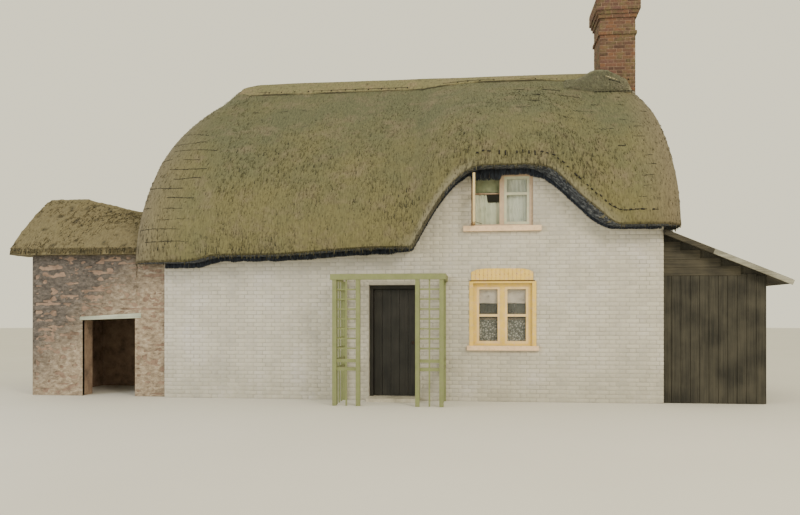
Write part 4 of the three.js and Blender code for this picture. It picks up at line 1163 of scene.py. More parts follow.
def ridge_rods():
    """A line of split hazel rods along the cap on each side, with the dark heads of their pins."""
    rng = random.Random(41)
    pin = (Vector((0, 0.03, 0.012)), Vector((0, -0.04, -0.02)))
    rows = []
    for across in (-0.385, 0.385):
        x = RIDGE_CAP.left + 0.05
        while x < RIDGE_CAP.right - 0.1:
            run = rng.uniform(0.2, 0.32)
            hidden = x > -0.4 and rng.random() < 0.55
            start = over_ridge(x, across + rng.uniform(-0.006, 0.006), 0.018)
            end = over_ridge(x + run, across + rng.uniform(-0.006, 0.006), 0.018)
            if not hidden:
                rows.append((rod_between(start, end, 0.008), rng.uniform(0.0, 0.25)))
                rows.append((rod_between(end + pin[0], end + pin[1], 0.013), 0.0))
            x += run
    return copies("ridge_rods", rod_template(6), rows, [hazel_and_painted_shade])


def fixing_points(height, pitch, x_from, x_to):
    """Points along the front at a height over the lip, and round on to the right end.

    Each comes with the ways along, down and out of the slope, and with the source of random numbers.
    """
    rng = random.Random(17)
    x = x_from
    while x < x_to:
        side, along = "front", (x - SPLIT.left) / (SPLIT.right - SPLIT.left)
        if x >= SPLIT.right:
            side, along = "right", (x - SPLIT.right) / END_LENGTH
        eave, _ = eave_at(side, along)
        level = height / (ROOF.ridge - eave)
        here, down, out = surface_frame(side, along, level)
        ahead, _, _ = surface_frame(side, min(along + 0.006, 1), level)
        beside = (ahead - here).normalized()
        yield here, beside, down, out, rng
        x += pitch * rng.uniform(0.9, 1.1) * max(abs(beside.x), 0.35)


def brow_stitches():
    """The line of fixings that holds the reed round the brow: a dark stitch about every 95 mm, drawn near
    black as painted shade in the hollow where the reed is pulled in.

    Over the crown the stitches stand upright instead of lying along the line; low on the right flank a
    thin rod joins them.
    """
    rows = []
    for here, beside, down, out, rng in fixing_points(0.235, 0.095, 1.3, 4.3):
        if rng.random() < 0.12:
            continue
        start = here + out * 0.02 + down * rng.uniform(-0.012, 0.012)
        if 1.62 < here.x < 2.32:
            reach = down * rng.uniform(0.04, 0.09)
        else:
            reach = (beside + down * rng.uniform(-0.2, 0.2)).normalized() * rng.uniform(0.03, 0.065)
        # Tone nought draws the hazel near black: painted shade in the hollow
        rows.append((rod_between(start, start + reach, rng.uniform(0.009, 0.015)), 0.0))
        if here.x > 3.45:
            rows.append((rod_between(start, start + beside * 0.1, 0.005), 0.0))
    return copies("brow_stitches", rod_template(5), rows, [hazel_and_painted_shade])


def shadow_packing_reeds():
    """Dark reed between the wall's head and the thatch, painted shade under the eaves, hanging lowest over
    the open light.
    """
    rng = random.Random(61)
    xs, depths = zip(*SHADOW_PACKING)
    count = 4200
    rows = []
    for step in range(count):
        x = xs[0] + (xs[-1] - xs[0]) * (step + rng.random()) / count
        ragged = rng.uniform(0.75, 1.0) + 0.2 * noise.noise(Vector((x * 5, 0, 0)))
        start = Vector((x, rng.uniform(-0.035, -0.014), front_eave(x) + 0.02))
        drop = 0.02 + float(np.interp(x, xs, depths)) * ragged
        end = start + Vector((rng.uniform(-0.015, 0.015), 0, -drop))
        # Each hanging reed is drawn blue black: painted shade under the eaves
        rows.append((rod_between(start, end, rng.uniform(0.005, 0.009)), 0.9))
    return copies("shadow_packing_reeds", rod_template(3, 0.7), rows, [shadow_dark_reed])


# Thatch and mortar at the foot of the stack

def rounded_height(x, y):
    """Height of the thatch over a point of its right end, where its corners are rounded in plan."""
    inside, outside = 0.0, 1.0
    for _ in range(20):
        level = (inside + outside) / 2
        half = half_depth(level)
        radius = min(ROOF.corner, half * 0.98)
        past_x = max(x - end_edge("right", level) + radius, 0.0)
        past_y = max(abs(y - RIDGE_Y) - half + radius, 0.0)
        if math.hypot(past_x, past_y) <= radius:
            inside = level
        else:
            outside = level
    lip = lip_over(x, y)
    return lip + (ROOF.ridge - lip) * inside


def saddle_height(x, y):
    """Height of the thatch heaped against the stack, over a point of the plan."""
    swell = smooth_step((x - SADDLE.rise_from) / (SADDLE.peak_from - SADDLE.rise_from))
    swell *= max(min((SADDLE.right - x) / (SADDLE.right - SADDLE.peak_to), 1), 0)
    share = (y - SADDLE.front) / (STACK.front - SADDLE.front)
    return roof_height(x, y) + SADDLE.edge + SADDLE.rise * swell * min(max(share, 0), 1)


def saddle_coat():
    """Thatch heaped against the front of the stack, with a cut lower edge that is darkened by painted shade.
    """
    bm, flow_layer, tone_layer = combed_grid(70, 26)
    left, right = SADDLE.left - SADDLE.run_out, SADDLE.right + 0.03
    front = SADDLE.front - 0.014
    cut = 0.28
    for vert in bm.verts:
        up = vert.co.y + 0.5
        x = left + (right - left) * (vert.co.x + 0.5)
        y = front + (STACK.front - front) * max(up - cut, 0) / (1 - cut)
        roof, z = roof_height(x, y), saddle_height(x, y)
        if up < cut:
            under = roof - 0.03
            z = under + (z - under) * (up / cut)
        fade = min(smooth_step((x - left) / SADDLE.run_out), smooth_step((right - x) / 0.06))
        ragged = noise.noise(Vector((x * 14, up * 5, 3))) * 0.012
        z = roof + (z - roof + 0.014 + ragged) * fade
        vert.co = (x, y, z)
        vert[flow_layer] = (y * 2.5 + z * 1.5, x * 1.6, 3)
        # The cut edge is toned dark: painted shade
        vert[tone_layer] = 0.4 if up < cut * 0.6 else 0.0
    bmesh.ops.recalc_face_normals(bm, faces=list(bm.faces))
    bmesh.ops.solidify(bm, geom=list(bm.faces), thickness=0.03)
    return piece_from("saddle_coat", bm, [stack_reed], smooth=True)


def saddle_reeds():
    """Reed ends of the saddle, lying down its slopes, some of them dark and damp."""
    rng = random.Random(67)
    rows = []
    for _ in range(2200):
        x = rng.uniform(SADDLE.left - 0.12, SADDLE.right - 0.04)
        y = rng.uniform(SADDLE.front + 0.01, STACK.front - 0.02)
        rise_x = saddle_height(x + 0.01, y) - saddle_height(x - 0.01, y)
        rise_y = saddle_height(x, y + 0.01) - saddle_height(x, y - 0.01)
        way = -Vector((rise_x, rise_y)).normalized() * rng.uniform(0.03, 0.1)
        risen = smooth_step((x - SADDLE.left + SADDLE.run_out) / SADDLE.run_out)
        sunk = (1 - risen) * (saddle_height(x, y) - roof_height(x, y))
        start = Vector((x, y, saddle_height(x, y) + 0.018 - sunk))
        end = Vector((x + way.x, y + way.y, saddle_height(x + way.x, y + way.y) + 0.026 - sunk))
        place = rod_between(end, start, rng.uniform(0.005, 0.009))
        rows.append((place, rng.choice([0.0, 0.0, 0.05, 0.15, 0.35]), (y * 2.5 + x, x * 1.6, 3)))
    return copies("saddle_reeds", rod_template(3, 0.3), rows, [stack_reed])


def saddle_spars():
    """Pale spars that pin the saddle down, and a row of fixings under its edge, drawn dark as the painted
    shadow of that edge.
    """
    rows = []
    spar = [(3.88, 2.12), (4.1, 2.08)]
    for shift, tone in ((0.0, 1.0), (0.05, 0.0)):
        ends = [(x + shift, y - shift * 1.5) for x, y in spar]
        ends = [Vector((x, y, saddle_height(x, y) + 0.035)) for x, y in ends]
        rows.append((rod_between(*ends, 0.01), tone))
    # Near-black row under the saddle's edge: painted shadow of the cut edge
    first, pitch, count, length = 3.62, 0.07, 11, 0.05
    y = SADDLE.front - 0.04
    for step in range(count):
        x = first + step * pitch
        ends = [Vector((at, y, roof_height(at, y) + 0.028)) for at in (x, x + length)]
        rows.append((rod_between(*ends, 0.008), 0.1))
    return copies("saddle_spars", rod_template(5), rows, [hazel_and_painted_shade])


def chimney_fillet():
    """Mortar fillet at the foot of the stack, in front beside the saddle and along the back."""
    bm = bmesh.new()
    steps = 14
    for left, wall_y, way in ((SADDLE.right - 0.04, STACK.front, -1), (STACK.left, STACK.back, 1)):
        bmesh.ops.create_grid(bm, x_segments=steps, y_segments=3, size=0.5)
        for vert in list(bm.verts)[-(steps + 1) * 4:]:
            x = left - 0.02 + (WALL_RIGHT - left + 0.02) * (vert.co.x + 0.5)
            share = vert.co.y + 0.5
            out = wall_y + way * 0.045 * share
            rise = 0.05 * (1 - share) ** 1.6 + noise.noise(Vector((x * 9, out * 9, 0))) * 0.006
            vert.co = (x, out, rounded_height(x, out) + 0.014 + rise)
    bmesh.ops.recalc_face_normals(bm, faces=list(bm.faces))
    if bm.faces[0].normal.z < 0:
        bmesh.ops.reverse_faces(bm, faces=list(bm.faces))
    bmesh.ops.solidify(bm, geom=list(bm.faces), thickness=0.05)
    return piece_from("chimney_fillet", bm, [cement_fillet], smooth=True)


# Brickwork

def brick_template(length, height, proud):
    """A brick's face, standing out of the joint with eased edges; its back is sunk in the wall."""
    bm = bmesh.new()
    box_into(bm, (0, -proud * 0.4, 0), (length, 0.02, height))
    bm.normal_update()
    faces = [face for face in bm.faces if face.normal.y < -0.9]
    bmesh.ops.inset_individual(bm, faces=faces, thickness=0.006, depth=proud * 0.6)
    return template_of(bm)


def flemish_bond(length, height, bricks, shift):
    """Start, end, foot and whether it is a header, for each brick of a wall in Flemish bond."""
    period = bricks.stretcher + bricks.header + 2 * bricks.joint
    for row in range(int(height / bricks.course) + 1):
        x = -period - shift - (period / 2 if row % 2 else 0.0)
        header = False
        while x < length:
            run = bricks.header if header else bricks.stretcher
            start, end = max(x, 0.0), min(x + run, length)
            if end - start > 0.03:
                yield start, end, row * bricks.course, header
            x += run + bricks.joint
            header = not header


def clear_spans(start, end, foot, head, holes):
    """What is left of a brick beside the openings."""
    spans = [(start, end)]
    for left, low_z, right, high_z in holes:
        if head < low_z + 0.012 or foot > high_z - 0.012:
            continue
        kept = []
        for a, b in spans:
            if b <= left or a >= right:
                kept.append((a, b))
                continue
            kept += [(p, q) for p, q in ((a, left - 0.001), (right + 0.001, b)) if q - p > 0.03]
        spans = kept
    return spans


def brick_face(
    name, corner, outward, length, height, seed, maker, top=None, holes=(), foot_z=0.0, shift=0.0,
):
    """Bricks on one wall face: from a corner, to the right as seen from outside."""
    bricks = bpy.context.scene.cottage_bricks
    rng = random.Random(seed)
    inward = -Vector(outward)
    run = inward.cross(UP)
    basis = Matrix((run, inward, UP)).transposed().to_4x4()
    tall = bricks.course - bricks.joint
    kinds = {True: ("headers", bricks.header, []), False: ("stretchers", bricks.stretcher, [])}
    for start, end, foot, header in flemish_bond(length, height, bricks, shift):
        _, whole, rows = kinds[header]
        for a, b in clear_spans(start, end, foot, foot + tall, holes):
            limit = top((a + b) / 2) if top else height
            if foot + tall * 0.5 > limit:
                continue
            used = min(tall, limit - foot)
            sink = rng.uniform(-0.0012, 0.0012)
            level = foot + foot_z + rng.uniform(-0.001, 0.001)
            place = Vector(corner) + run * a + UP * level - inward * sink
            size = Matrix.Diagonal(((b - a) / whole, 1, used / tall, 1))
            tilt = Matrix.Rotation(rng.uniform(-0.006, 0.006), 4, "Y")
            rows.append((Matrix.Translation(place) @ basis @ tilt @ size, rng.random()))
    for kind, whole, rows in kinds.values():
        if rows:
            copies(f"{name}_{kind}", brick_template(whole, tall, bricks.proud), rows, [maker])


def opening_of(node_name, corner, run):
    """The rectangle that a frame takes up on its wall, as left, foot, right, head."""
    lowest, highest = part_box(node_name)
    left, right = sorted([(lowest - corner).dot(run), (highest - corner).dot(run)])
    return left, lowest.z, right, highest.z


def washed_face(name, corner, outward, seed, height, top=None, holes=()):
    """One limewashed wall of the house."""
    length = WALL_BACK if outward[0] else WALL_RIGHT - WALL_LEFT
    brick_face(name, corner, outward, length, height, seed, limewashed_brick, top, holes)


def house_walls():
    """Limewashed bricks of the four walls, cut round the doorway, the windows and their sills."""
    front = Vector((WALL_LEFT, 0, 0))
    names = ("upper_window_frame", "lower_window_frame", "upper_window_sill", "lower_window_sill")
    holes = [opening_of(name, front, Vector((1, 0, 0))) for name in names]
    holes += [opening_of(f"lower_window_{part}", front, Vector((1, 0, 0))) for part in ("surround", "arch")]
    holes.append((DOORWAY.left - WALL_LEFT, -0.1, DOORWAY.right - WALL_LEFT, DOORWAY.head))
    washed_face(
        "front_bricks", front, (0, -1, 0), 3, EAVES.crown, lambda s: front_eave(s + WALL_LEFT) - 0.004, holes,
    )
    back = Vector((WALL_RIGHT, WALL_BACK, 0))
    holes = [
        opening_of(f"back_window_{side}_{part}", back, Vector((-1, 0, 0)))
        for side in ("left", "right") for part in ("frame", "sill")
    ]
    washed_face(
        "back_bricks", back, (0, 1, 0), 5, EAVES.right, lambda s: plain_eave(WALL_RIGHT - s) - 0.004, holes,
    )
    washed_face("left_end_bricks", (WALL_LEFT, WALL_BACK, 0), (-1, 0, 0), 7, EAVES.corner - 0.004)
    washed_face("right_end_bricks", (WALL_RIGHT, 0, 0), (1, 0, 0), 9, EAVES.right - 0.004)


def around_box(name, lowest, highest, seed):
    """Chimney bricks on the four upright faces of a box."""
    lowest, highest = Vector(lowest), Vector(highest)
    left, front, foot = lowest
    right, back, _ = highest
    wide, deep, tall = highest - lowest
    faces = [
        ("front", (left, front, 0), (0, -1, 0), wide),
        ("right", (right, front, 0), (1, 0, 0), deep),
        ("back", (right, back, 0), (0, 1, 0), wide),
        ("left", (left, back, 0), (-1, 0, 0), deep),
    ]
    for index, (face, corner, outward, length) in enumerate(faces):
        brick_face(
            f"{name}_{face}", corner, outward, length, tall, seed + index, stock_brick,
            foot_z=foot, shift=0.06 * (index + 1),
        )


def chimney_bricks():
    """Bricks of the stack, of its string course and of the three oversailing courses at its top."""
    lowest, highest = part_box("chimney_stack")
    foot, string_foot, string_head, head = 5.2, 7.23, 7.30, 7.57
    near, far = (STACK.left, STACK.front), (STACK.right, STACK.back)
    around_box("stack_bricks", (*near, foot), (*far, string_foot), 21)
    around_box("string_bricks", (*lowest.xy, string_foot), (*highest.xy, string_head), 31)
    around_box("neck_bricks", (*near, string_head), (*far, head), 41)
    cap_low, cap_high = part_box("chimney_cap")
    rise, oversail, courses = 0.072, 0.03, 3
    for step in range(courses):
        inset = oversail * (courses - 1 - step)
        foot = cap_low.z + rise * step
        head = cap_high.z if step == courses - 1 else foot + rise
        corner_low = (cap_low.x + inset, cap_low.y + inset, foot)
        corner_high = (cap_high.x - inset, cap_high.y - inset, head)
        around_box(f"cap_bricks_{step + 1}", corner_low, corner_high, 60 + 10 * step)


def window_arch():
    """Soldier bricks of the painted arch over the lower window, flaked spots, and under them a dark iron bar
    that stands for the shadow line under the arch.
    """
    lowest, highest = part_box("lower_window_arch")
    middle, half = (lowest.x + highest.x) / 2, (highest.x - lowest.x) / 2
    front = lowest.y - 0.004
    sunk = -0.0004
    count = 15
    pitch = 2 * half / count
    joint, spring_drop = 0.003, 0.065
    bm = bmesh.new()
    for index in range(count):
        x = lowest.x + pitch * (index + 0.5)
        corner = (x - pitch / 2 + joint, front, lowest.z + 0.014)
        box_into(bm, corner, (x + pitch / 2 - joint, sunk, highest.z))
    for vert in bm.verts:
        if vert.co.z > highest.z - 0.001:
            vert.co.z -= spring_drop * abs((vert.co.x - middle) / half) ** 6 - 0.002
    soften(bm, 0.002)
    piece_from("window_arch_bricks", bm, [yellow_oil])

    rng = random.Random(19)
    flaked = bmesh.new()
    for index in range(1, count):
        x = lowest.x + pitch * index + rng.uniform(-0.006, 0.006)
        foot = (lowest.z + highest.z) / 2 + rng.uniform(-0.02, 0.01)
        head = foot + rng.uniform(0.01, 0.02)
        box_into(flaked, (x - 0.008, front - 0.001, foot), (x + 0.008, front + 0.003, head))
    soften(flaked, 0.0015)
    piece_from("window_arch_flakes", flaked, [bare_brick])

    # A dark bar where the arch casts its shadow line: painted shadow
    bar = bmesh.new()
    bar_low = (lowest.x - 0.03, lowest.y - 0.01, lowest.z - 0.004)
    box_into(bar, bar_low, (highest.x + 0.03, sunk, lowest.z + 0.01))
    soften(bar, 0.002)
    piece_from("window_arch_shadow_bar", bar, [forged_iron])


# Earth walls and roof of the wing

def rough_face(name, outward, corner, width, height_at, pitch, seed, foot_at=None):
    """A rough earth face: from a corner, to the right as seen from outside, with its back in the wall."""
    inward = -Vector(outward)
    run = inward.cross(UP)
    columns = max(int(width / pitch), 2)
    rows = max(int(height_at(width / 2) / pitch), 2)
    bm = bmesh.new()
    tone_layer = bm.verts.layers.float.new("tone")
    bmesh.ops.create_grid(bm, x_segments=columns, y_segments=rows, size=0.5)
    for vert in bm.verts:
        share_x, share_z = vert.co.x + 0.5, vert.co.y + 0.5
        s = share_x * width
        foot = foot_at(s) if foot_at else 0.0
        z = foot + (height_at(s) - foot) * share_z
        edge = min(share_x, 1 - share_x) * width
        fade = smooth_step(edge / 0.07) * smooth_step((height_at(s) - z) / 0.05 + 0.2)
        lifts = noise.fractal(Vector((s * 2.2, seed, z * 9)), 0.8, 2.0, 3)
        clods = noise.fractal(Vector((s * 11, seed, z * 19)), 0.9, 2.1, 4)
        hole = max(noise.noise(Vector((s * 6, seed * 2, z * 13))) - 0.3, 0.0)
        crack = max(noise.noise(Vector((s * 1.6, seed * 3, z * 21))) - 0.34, 0.0)
        relief = 0.008 + (0.012 * lifts + 0.012 * clods - 0.14 * hole - 0.1 * crack) * fade
        vert.co = Vector(corner) + run * s + UP * z - inward * min(max(relief, -0.03), 0.03)
        # Holes and cracks carry a tone that darkens them: painted shade in the recesses
        vert[tone_layer] = min((hole * 3.6 + crack * 3.0) * fade, 0.95)
    rim = [edge for edge in bm.edges if edge.is_boundary]
    grown = bmesh.ops.extrude_edge_only(bm, edges=rim)["geom"]
    wall = Vector(corner).dot(inward) + 0.06
    for vert in [item for item in grown if isinstance(item, bmesh.types.BMVert)]:
        vert.co += inward * (wall - vert.co.dot(inward))
    back = [item for item in grown if isinstance(item, bmesh.types.BMEdge) and item.is_boundary]
    bmesh.ops.edgeloop_fill(bm, edges=back)
    bmesh.ops.recalc_face_normals(bm, faces=list(bm.faces))
    return piece_from(name, bm, [earth_wall])


def wing_walls():
    """Rough faces of the wing's front beside and over the opening, of its end and of its back."""
    left, front = low("wing_end_wall").x, low("wing_front_wall_left").y
    right = high("wing_front_wall_right").x
    opening_left, opening_right = high("wing_front_wall_left").x, low("wing_front_wall_right").x
    lintel_low, lintel_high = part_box("wing_lintel")
    lintel_span = lintel_high.x - lintel_low.x
    lintel_left_top, lintel_right_top, post_head = 1.487, 1.560, 1.458
    eaves = high("wing_wall_over_opening").z
    house_eaves = EAVES.corner - 0.003

    def head_at(x):
        return eaves if x < ROOF.left - 0.03 else house_eaves

    def lintel_top(s):
        return lintel_left_top + (lintel_right_top - lintel_left_top) / lintel_span * s + 0.004

    for name, start, end, foot_at, height_at, seed in (
        ("left", left, lintel_low.x, None, lambda s: eaves, 2),
        ("jamb", lintel_low.x, opening_left, None, lambda s: lintel_low.z - 0.004, 4),
        ("over", lintel_low.x, lintel_high.x, lintel_top, lambda s: head_at(lintel_low.x + s), 6),
        ("post", opening_right, lintel_high.x, None, lambda s: post_head, 8),
        ("right", lintel_high.x, right, None, lambda s: house_eaves, 10),
    ):
        corner = (start, front, 0)
        rough_face(f"wing_face_{name}", (0, -1, 0), corner, end - start, height_at, 0.024, seed, foot_at)

    end_low, end_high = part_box("wing_end_wall")
    half = (end_high.y - end_low.y) / 2

    def gable(s):
        inner = max(half - 0.35 - abs(s - half), 0.0) / (half - 0.35)
        return eaves + (end_high.z - eaves) * inner

    rough_face("wing_face_end", (-1, 0, 0), (left, end_high.y, 0), 2 * half, gable, 0.035, 12)
    rough_face(
        "wing_face_back", (0, 1, 0), (right, high("wing_back_wall").y, 0), right - left,
        lambda s: head_at(right - s), 0.04, 14,
    )


def wing_ridge(x):
    """Height of the wing's ridge, which falls away towards the house."""
    top, fall, level_to = 3.88, 0.224, -6.7
    return top - fall * max(x - level_to, 0.0)


def wing_section(x, share):
    """A point across the wing's thatch, from the front wall out, over the ridge and back, and its flow."""
    front, back = low("wing_front_wall_left").y, high("wing_back_wall").y
    middle = (front + back) / 2
    overhang, head, lip_rise, bow, flat, drop = 0.22, 2.65, 0.11, 0.05, 0.12, 0.07
    soffit, lip, set_back = 0.1, 0.16, 0.03
    side = -1 if share < 0.5 else 1
    s = min(share, 1 - share) * 2
    half = middle - front
    edge = half + overhang - set_back
    shoulder = wing_ridge(x) - drop
    if s < soffit:
        return Vector((x, middle + side * (half + overhang * s / soffit), head)), 2.0
    if s < lip:
        part = (s - soffit) / (lip - soffit)
        return Vector((x, middle + side * (edge + set_back * (1 - part)), head + lip_rise * part)), 1.7
    part = (s - lip) / (1 - lip)
    out = edge * (1 - part)
    if out < flat:
        z = shoulder + drop * (1 - out / flat)
    else:
        climbed = part / (1 - flat / edge)
        z = head + lip_rise + (shoulder - head - lip_rise) * climbed + bow * math.sin(part * math.pi)
    return Vector((x, middle + side * out, z)), 1.6 * (1 - part)


def wing_coat():
    """Mossy old thatch of the wing, ragged at its eaves and at its open end."""
    settings = bpy.context.scene.cottage_thatch
    left, right = low("wing_thatch").x, ROOF.left + 0.12
    bm, flow_layer, tone_layer = combed_grid(90, 120)
    for vert in bm.verts:
        x = left + (right - left) * (vert.co.x + 0.5)
        vert.co, down = wing_section(x, vert.co.y + 0.5)
        vert[flow_layer] = (x + 130, down, 3)
    bm.normal_update()
    for vert in bm.verts:
        flow = vert[flow_layer]
        if flow.y >= 1.6:
            vert.co.z += noise.noise(Vector((vert.co.x * 17, vert.co.y * 3, 0))) * 0.02
            # Under the eaves the tone paints shade
            vert[tone_layer] = 0.5
            continue
        tufts = max(noise.noise(vert.co * 9), 0.0) * 0.025
        hollow = max(noise.noise(Vector((flow.x * 7, flow.y * 5, 5))) - 0.3, 0.0)
        lift = settings.proud + coat_lift(vert.co.copy(), flow) * 1.3 + tufts - hollow * 0.03
        vert.co += vert.normal * lift
        # Hollows are darkened by their tone: painted shade
        vert[tone_layer] = min(hollow * 2.2, 0.8)
    bmesh.ops.solidify(bm, geom=list(bm.faces), thickness=0.05)
    return piece_from("wing_reed", bm, [mossy_reed], smooth=True)


def wing_reeds():
    """Loose and hanging reeds of the wing."""
    rng = random.Random(77)
    left, right = low("wing_thatch").x, ROOF.left + 0.1
    rows = []
    for _ in range(3600):
        x = rng.uniform(left, right)
        front = rng.random() < 0.7
        s = 0.14 + rng.random() ** 1.4 * 0.84
        here, down = wing_section(x, s / 2 if front else 1 - s / 2)
        lower, _ = wing_section(x, (s - 0.02) / 2 if front else 1 - (s - 0.02) / 2)
        way = (lower - here).normalized()
        out = Vector((0, -1 if front else 1, 0.9)).normalized()
        start = here + out * 0.012
        end = start + way * rng.uniform(0.04, 0.1) + out * rng.uniform(0.002, 0.012)
        place = rod_between(end, start, rng.uniform(0.005, 0.009))
        rows.append((place, rng.choice([0.0, 0.0, 0.2, 0.8]), (x + 130, down, 3)))
    return copies("wing_loose_reeds", rod_template(3, 0.3), rows, [mossy_reed])


# Boards of the lean-to

def lean_top(x):
    """Height of the lean-to's roof over a point."""
    return LEAN_TO.top - (x - WALL_RIGHT) * LEAN_TO.fall


def lean_to_walls():
    """Level boards in the gable, upright boards below them and round the side."""
    front, back = low("lean_to_front_wall").y, high("lean_to_side_wall").y
    right = high("lean_to_front_wall").x
    level_foot, gap = 2.2, 0.004

    def under_roof(x):
        return lean_top(x) - LEAN_TO.thick

    rng = random.Random(5)
    upright = bmesh.new()
    width = 0.155
    x = WALL_RIGHT + gap
    while x < right - 0.02:
        end = min(x + width, right)
        head = min(level_foot + 0.03, under_roof(end) - gap)
        box_into(upright, (x, front - rng.uniform(0.016, 0.022), 0.0), (end - 0.006, front + 0.004, head))
        x += width
    y = front
    while y < back - 0.02:
        end = min(y + width, back)
        outer = right + rng.uniform(0.014, 0.02)
        box_into(upright, (right - 0.004, y, 0.0), (outer, end - 0.006, under_roof(right) - gap))
        y += width
    soften(upright, 0.003)
    piece_from("lean_to_upright_boards", upright, [tarred_upright])

    level = bmesh.new()
    tilted = Matrix.Rotation(-0.07, 4, "X")
    width, lap = 0.17, 0.03
    z = level_foot
    while z < under_roof(WALL_RIGHT) - 0.06:
        head = z + width
        end = min(WALL_RIGHT + (under_roof(WALL_RIGHT) - head) / LEAN_TO.fall, right)
        if end - WALL_RIGHT > 0.12:
            box_into(level, (WALL_RIGHT + gap, front - 0.026, z), (end - 0.01, front - 0.01, head), tilted)
        z += width - lap
    soften(level, 0.003)
    piece_from("lean_to_level_boards", level, [tarred_level])


def lean_to_roof():
    """Roof boards running down the slope, lapped, with a bare edge board in front."""
    lowest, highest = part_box("lean_to_roof")
    slope = math.atan(LEAN_TO.fall)
    turn = Matrix.Rotation(slope, 4, "Y")
    rng = random.Random(8)

    def sloped_board(bm, left, right, front, back, lift, thick, spare):
        middle = (left + right) / 2
        place = Matrix.Translation((middle, (front + back) / 2, lean_top(middle) + lift))
        size = Matrix.Diagonal(((right - left) / math.cos(slope) - spare, back - front, thick, 1))
        bmesh.ops.create_cube(bm, size=1.0, matrix=place @ turn @ size)

    boards = bmesh.new()
    width = 0.2
    y = lowest.y
    over = False
    while y < highest.y - 0.03:
        end = min(y + width, highest.y)
        lift = (0.006 if over else 0.013) + rng.uniform(0, 0.002)
        sloped_board(boards, lowest.x, highest.x, y - 0.006, end + 0.006, lift, 0.018, 0.01)
        y += width
        over = not over
    soften(boards, 0.003)
    piece_from("lean_to_roof_boards", boards, [tarred_level])

    joint = lowest.x + 0.8
    for name, left, right, maker in (
        ("upper", lowest.x, joint, tarred_level), ("lower", joint, highest.x, silvered_edge),
    ):
        edge = bmesh.new()
        sloped_board(edge, left, right, lowest.y - 0.019, lowest.y + 0.003, -0.03, 0.085, 0.0)
        soften(edge, 0.003)
        piece_from(f"lean_to_edge_{name}", edge, [maker])


# Door, windows and porch

def plank_door():
    """Five planks with eased edges on three ledges, strap hinges, nail heads and a ring latch."""
    lowest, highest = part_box("front_door")
    barrel_x, barrel_y = -0.552, 0.222
    left, right = -0.549, highest.x
    face, back, ledge_back = lowest.y, 0.195, 0.21
    foot, tall = lowest.z, highest.z - lowest.z
    ring_height = 1.02
    count = 5
    width = (right - left) / count
    rng = random.Random(13)
    planks = bmesh.new()
    for index in range(count):
        x = left + width * index
        sink = rng.uniform(0, 0.002)
        box_into(planks, (x + 0.0015, face + sink, foot), (x + width - 0.0015, back, highest.z))
    soften(planks, 0.004, 2)
    for share in (0.12, 0.5, 0.86):
        z = foot + tall * share
        box_into(planks, (left + 0.04, back - 0.001, z), (right - 0.025, ledge_back, z + 0.13))
    piece = piece_from("plank_door", planks, [shaded_dark_oak], body="front_door")
    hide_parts("front_door")

    iron = bmesh.new()
    facing = Matrix.Rotation(math.pi / 2, 4, "X")
    for share in (0.12, 0.86):
        z = foot + tall * share + 0.045
        rod_into(iron, Matrix.Translation((barrel_x, barrel_y, z + 0.02)), 16, 0.012, length=0.04)
        box_into(iron, (barrel_x, barrel_y - 0.0125, z), (barrel_x + 0.33, barrel_y - 0.0065, z + 0.04))
    for share in (0.155, 0.535, 0.895):
        for half_plank in range(2 * count):
            x = left + width * (half_plank // 2 + (0.7 if half_plank % 2 else 0.3))
            nail = Matrix.Translation((x, face - 0.001, foot + tall * share))
            rod_into(iron, nail @ facing, 8, 0.006, tip=0.003, length=0.004)
    ring = Matrix.Translation((right - 0.07, face - 0.006, ring_height))
    rod_into(iron, ring @ facing, 16, 0.03, tip=0.026, length=0.008)
    piece_from("door_ironwork", iron, [forged_iron], body="front_door")


def hung_cloth(name, node_name, folds, depth, maker, top_at=None):
    """A cloth with upright folds in the place of its solid, which is hidden; the area and mean height of its
    flat cut are worked out and left unused.
    """
    lowest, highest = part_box(node_name)
    middle = (lowest.y + highest.y) / 2
    wide, tall = highest.x - lowest.x, highest.z - lowest.z

    def height_at(x):
        return (top_at(x) if top_at else highest.z) - lowest.z

    bm = bmesh.new()
    bmesh.ops.create_grid(bm, x_segments=max(folds * 10, 24), y_segments=20, size=0.5)
    for vert in bm.verts:
        share_x, share_z = vert.co.x + 0.5, vert.co.y + 0.5
        x = lowest.x + wide * share_x
        z = lowest.z + height_at(x) * share_z
        wander = noise.noise(Vector((x * 6, lowest.z, z * 1.5))) * 1.6
        wave = math.sin(share_x * folds * 2 * math.pi + wander)
        vert.co = (x, middle + wave * depth * (1 - 0.35 * share_z), z)
    area = sum(face.calc_area() for face in bm.faces)
    steps = 40
    mean_height = sum(height_at(lowest.x + wide * (step + 0.5) / steps) for step in range(steps)) / steps
    bmesh.ops.solidify(bm, geom=list(bm.faces), thickness=0.0012)
    cloth = piece_from(name, bm, [maker], smooth=True)
    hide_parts(node_name)


def window_cloths():
    """Gathered curtains, olive shade, plain blind and lace, each in the place of its solid."""
    curtain_head = high("upper_window_curtain_left").z

    def sagged(x):
        return curtain_head - 0.14 * smooth_step((x - 1.478) / 0.024)

    left = "upper_window_curtain_left"
    hung_cloth("curtain_left", left, 6, 0.006, washed_cotton, top_at=sagged)
    # The right curtain wears a lighter copy of the cotton: painted light
    hung_cloth("curtain_right", "upper_window_curtain_right", 7, 0.006, cotton_painted_lighter)
    hung_cloth("olive_shade", "upper_window_shade", 5, 0.004, olive_linen)
    hung_cloth("blind", "lower_window_blind", 2, 0.003, blind_linen)
    hung_cloth("lace", "lower_window_lace", 9, 0.005, net_lace)


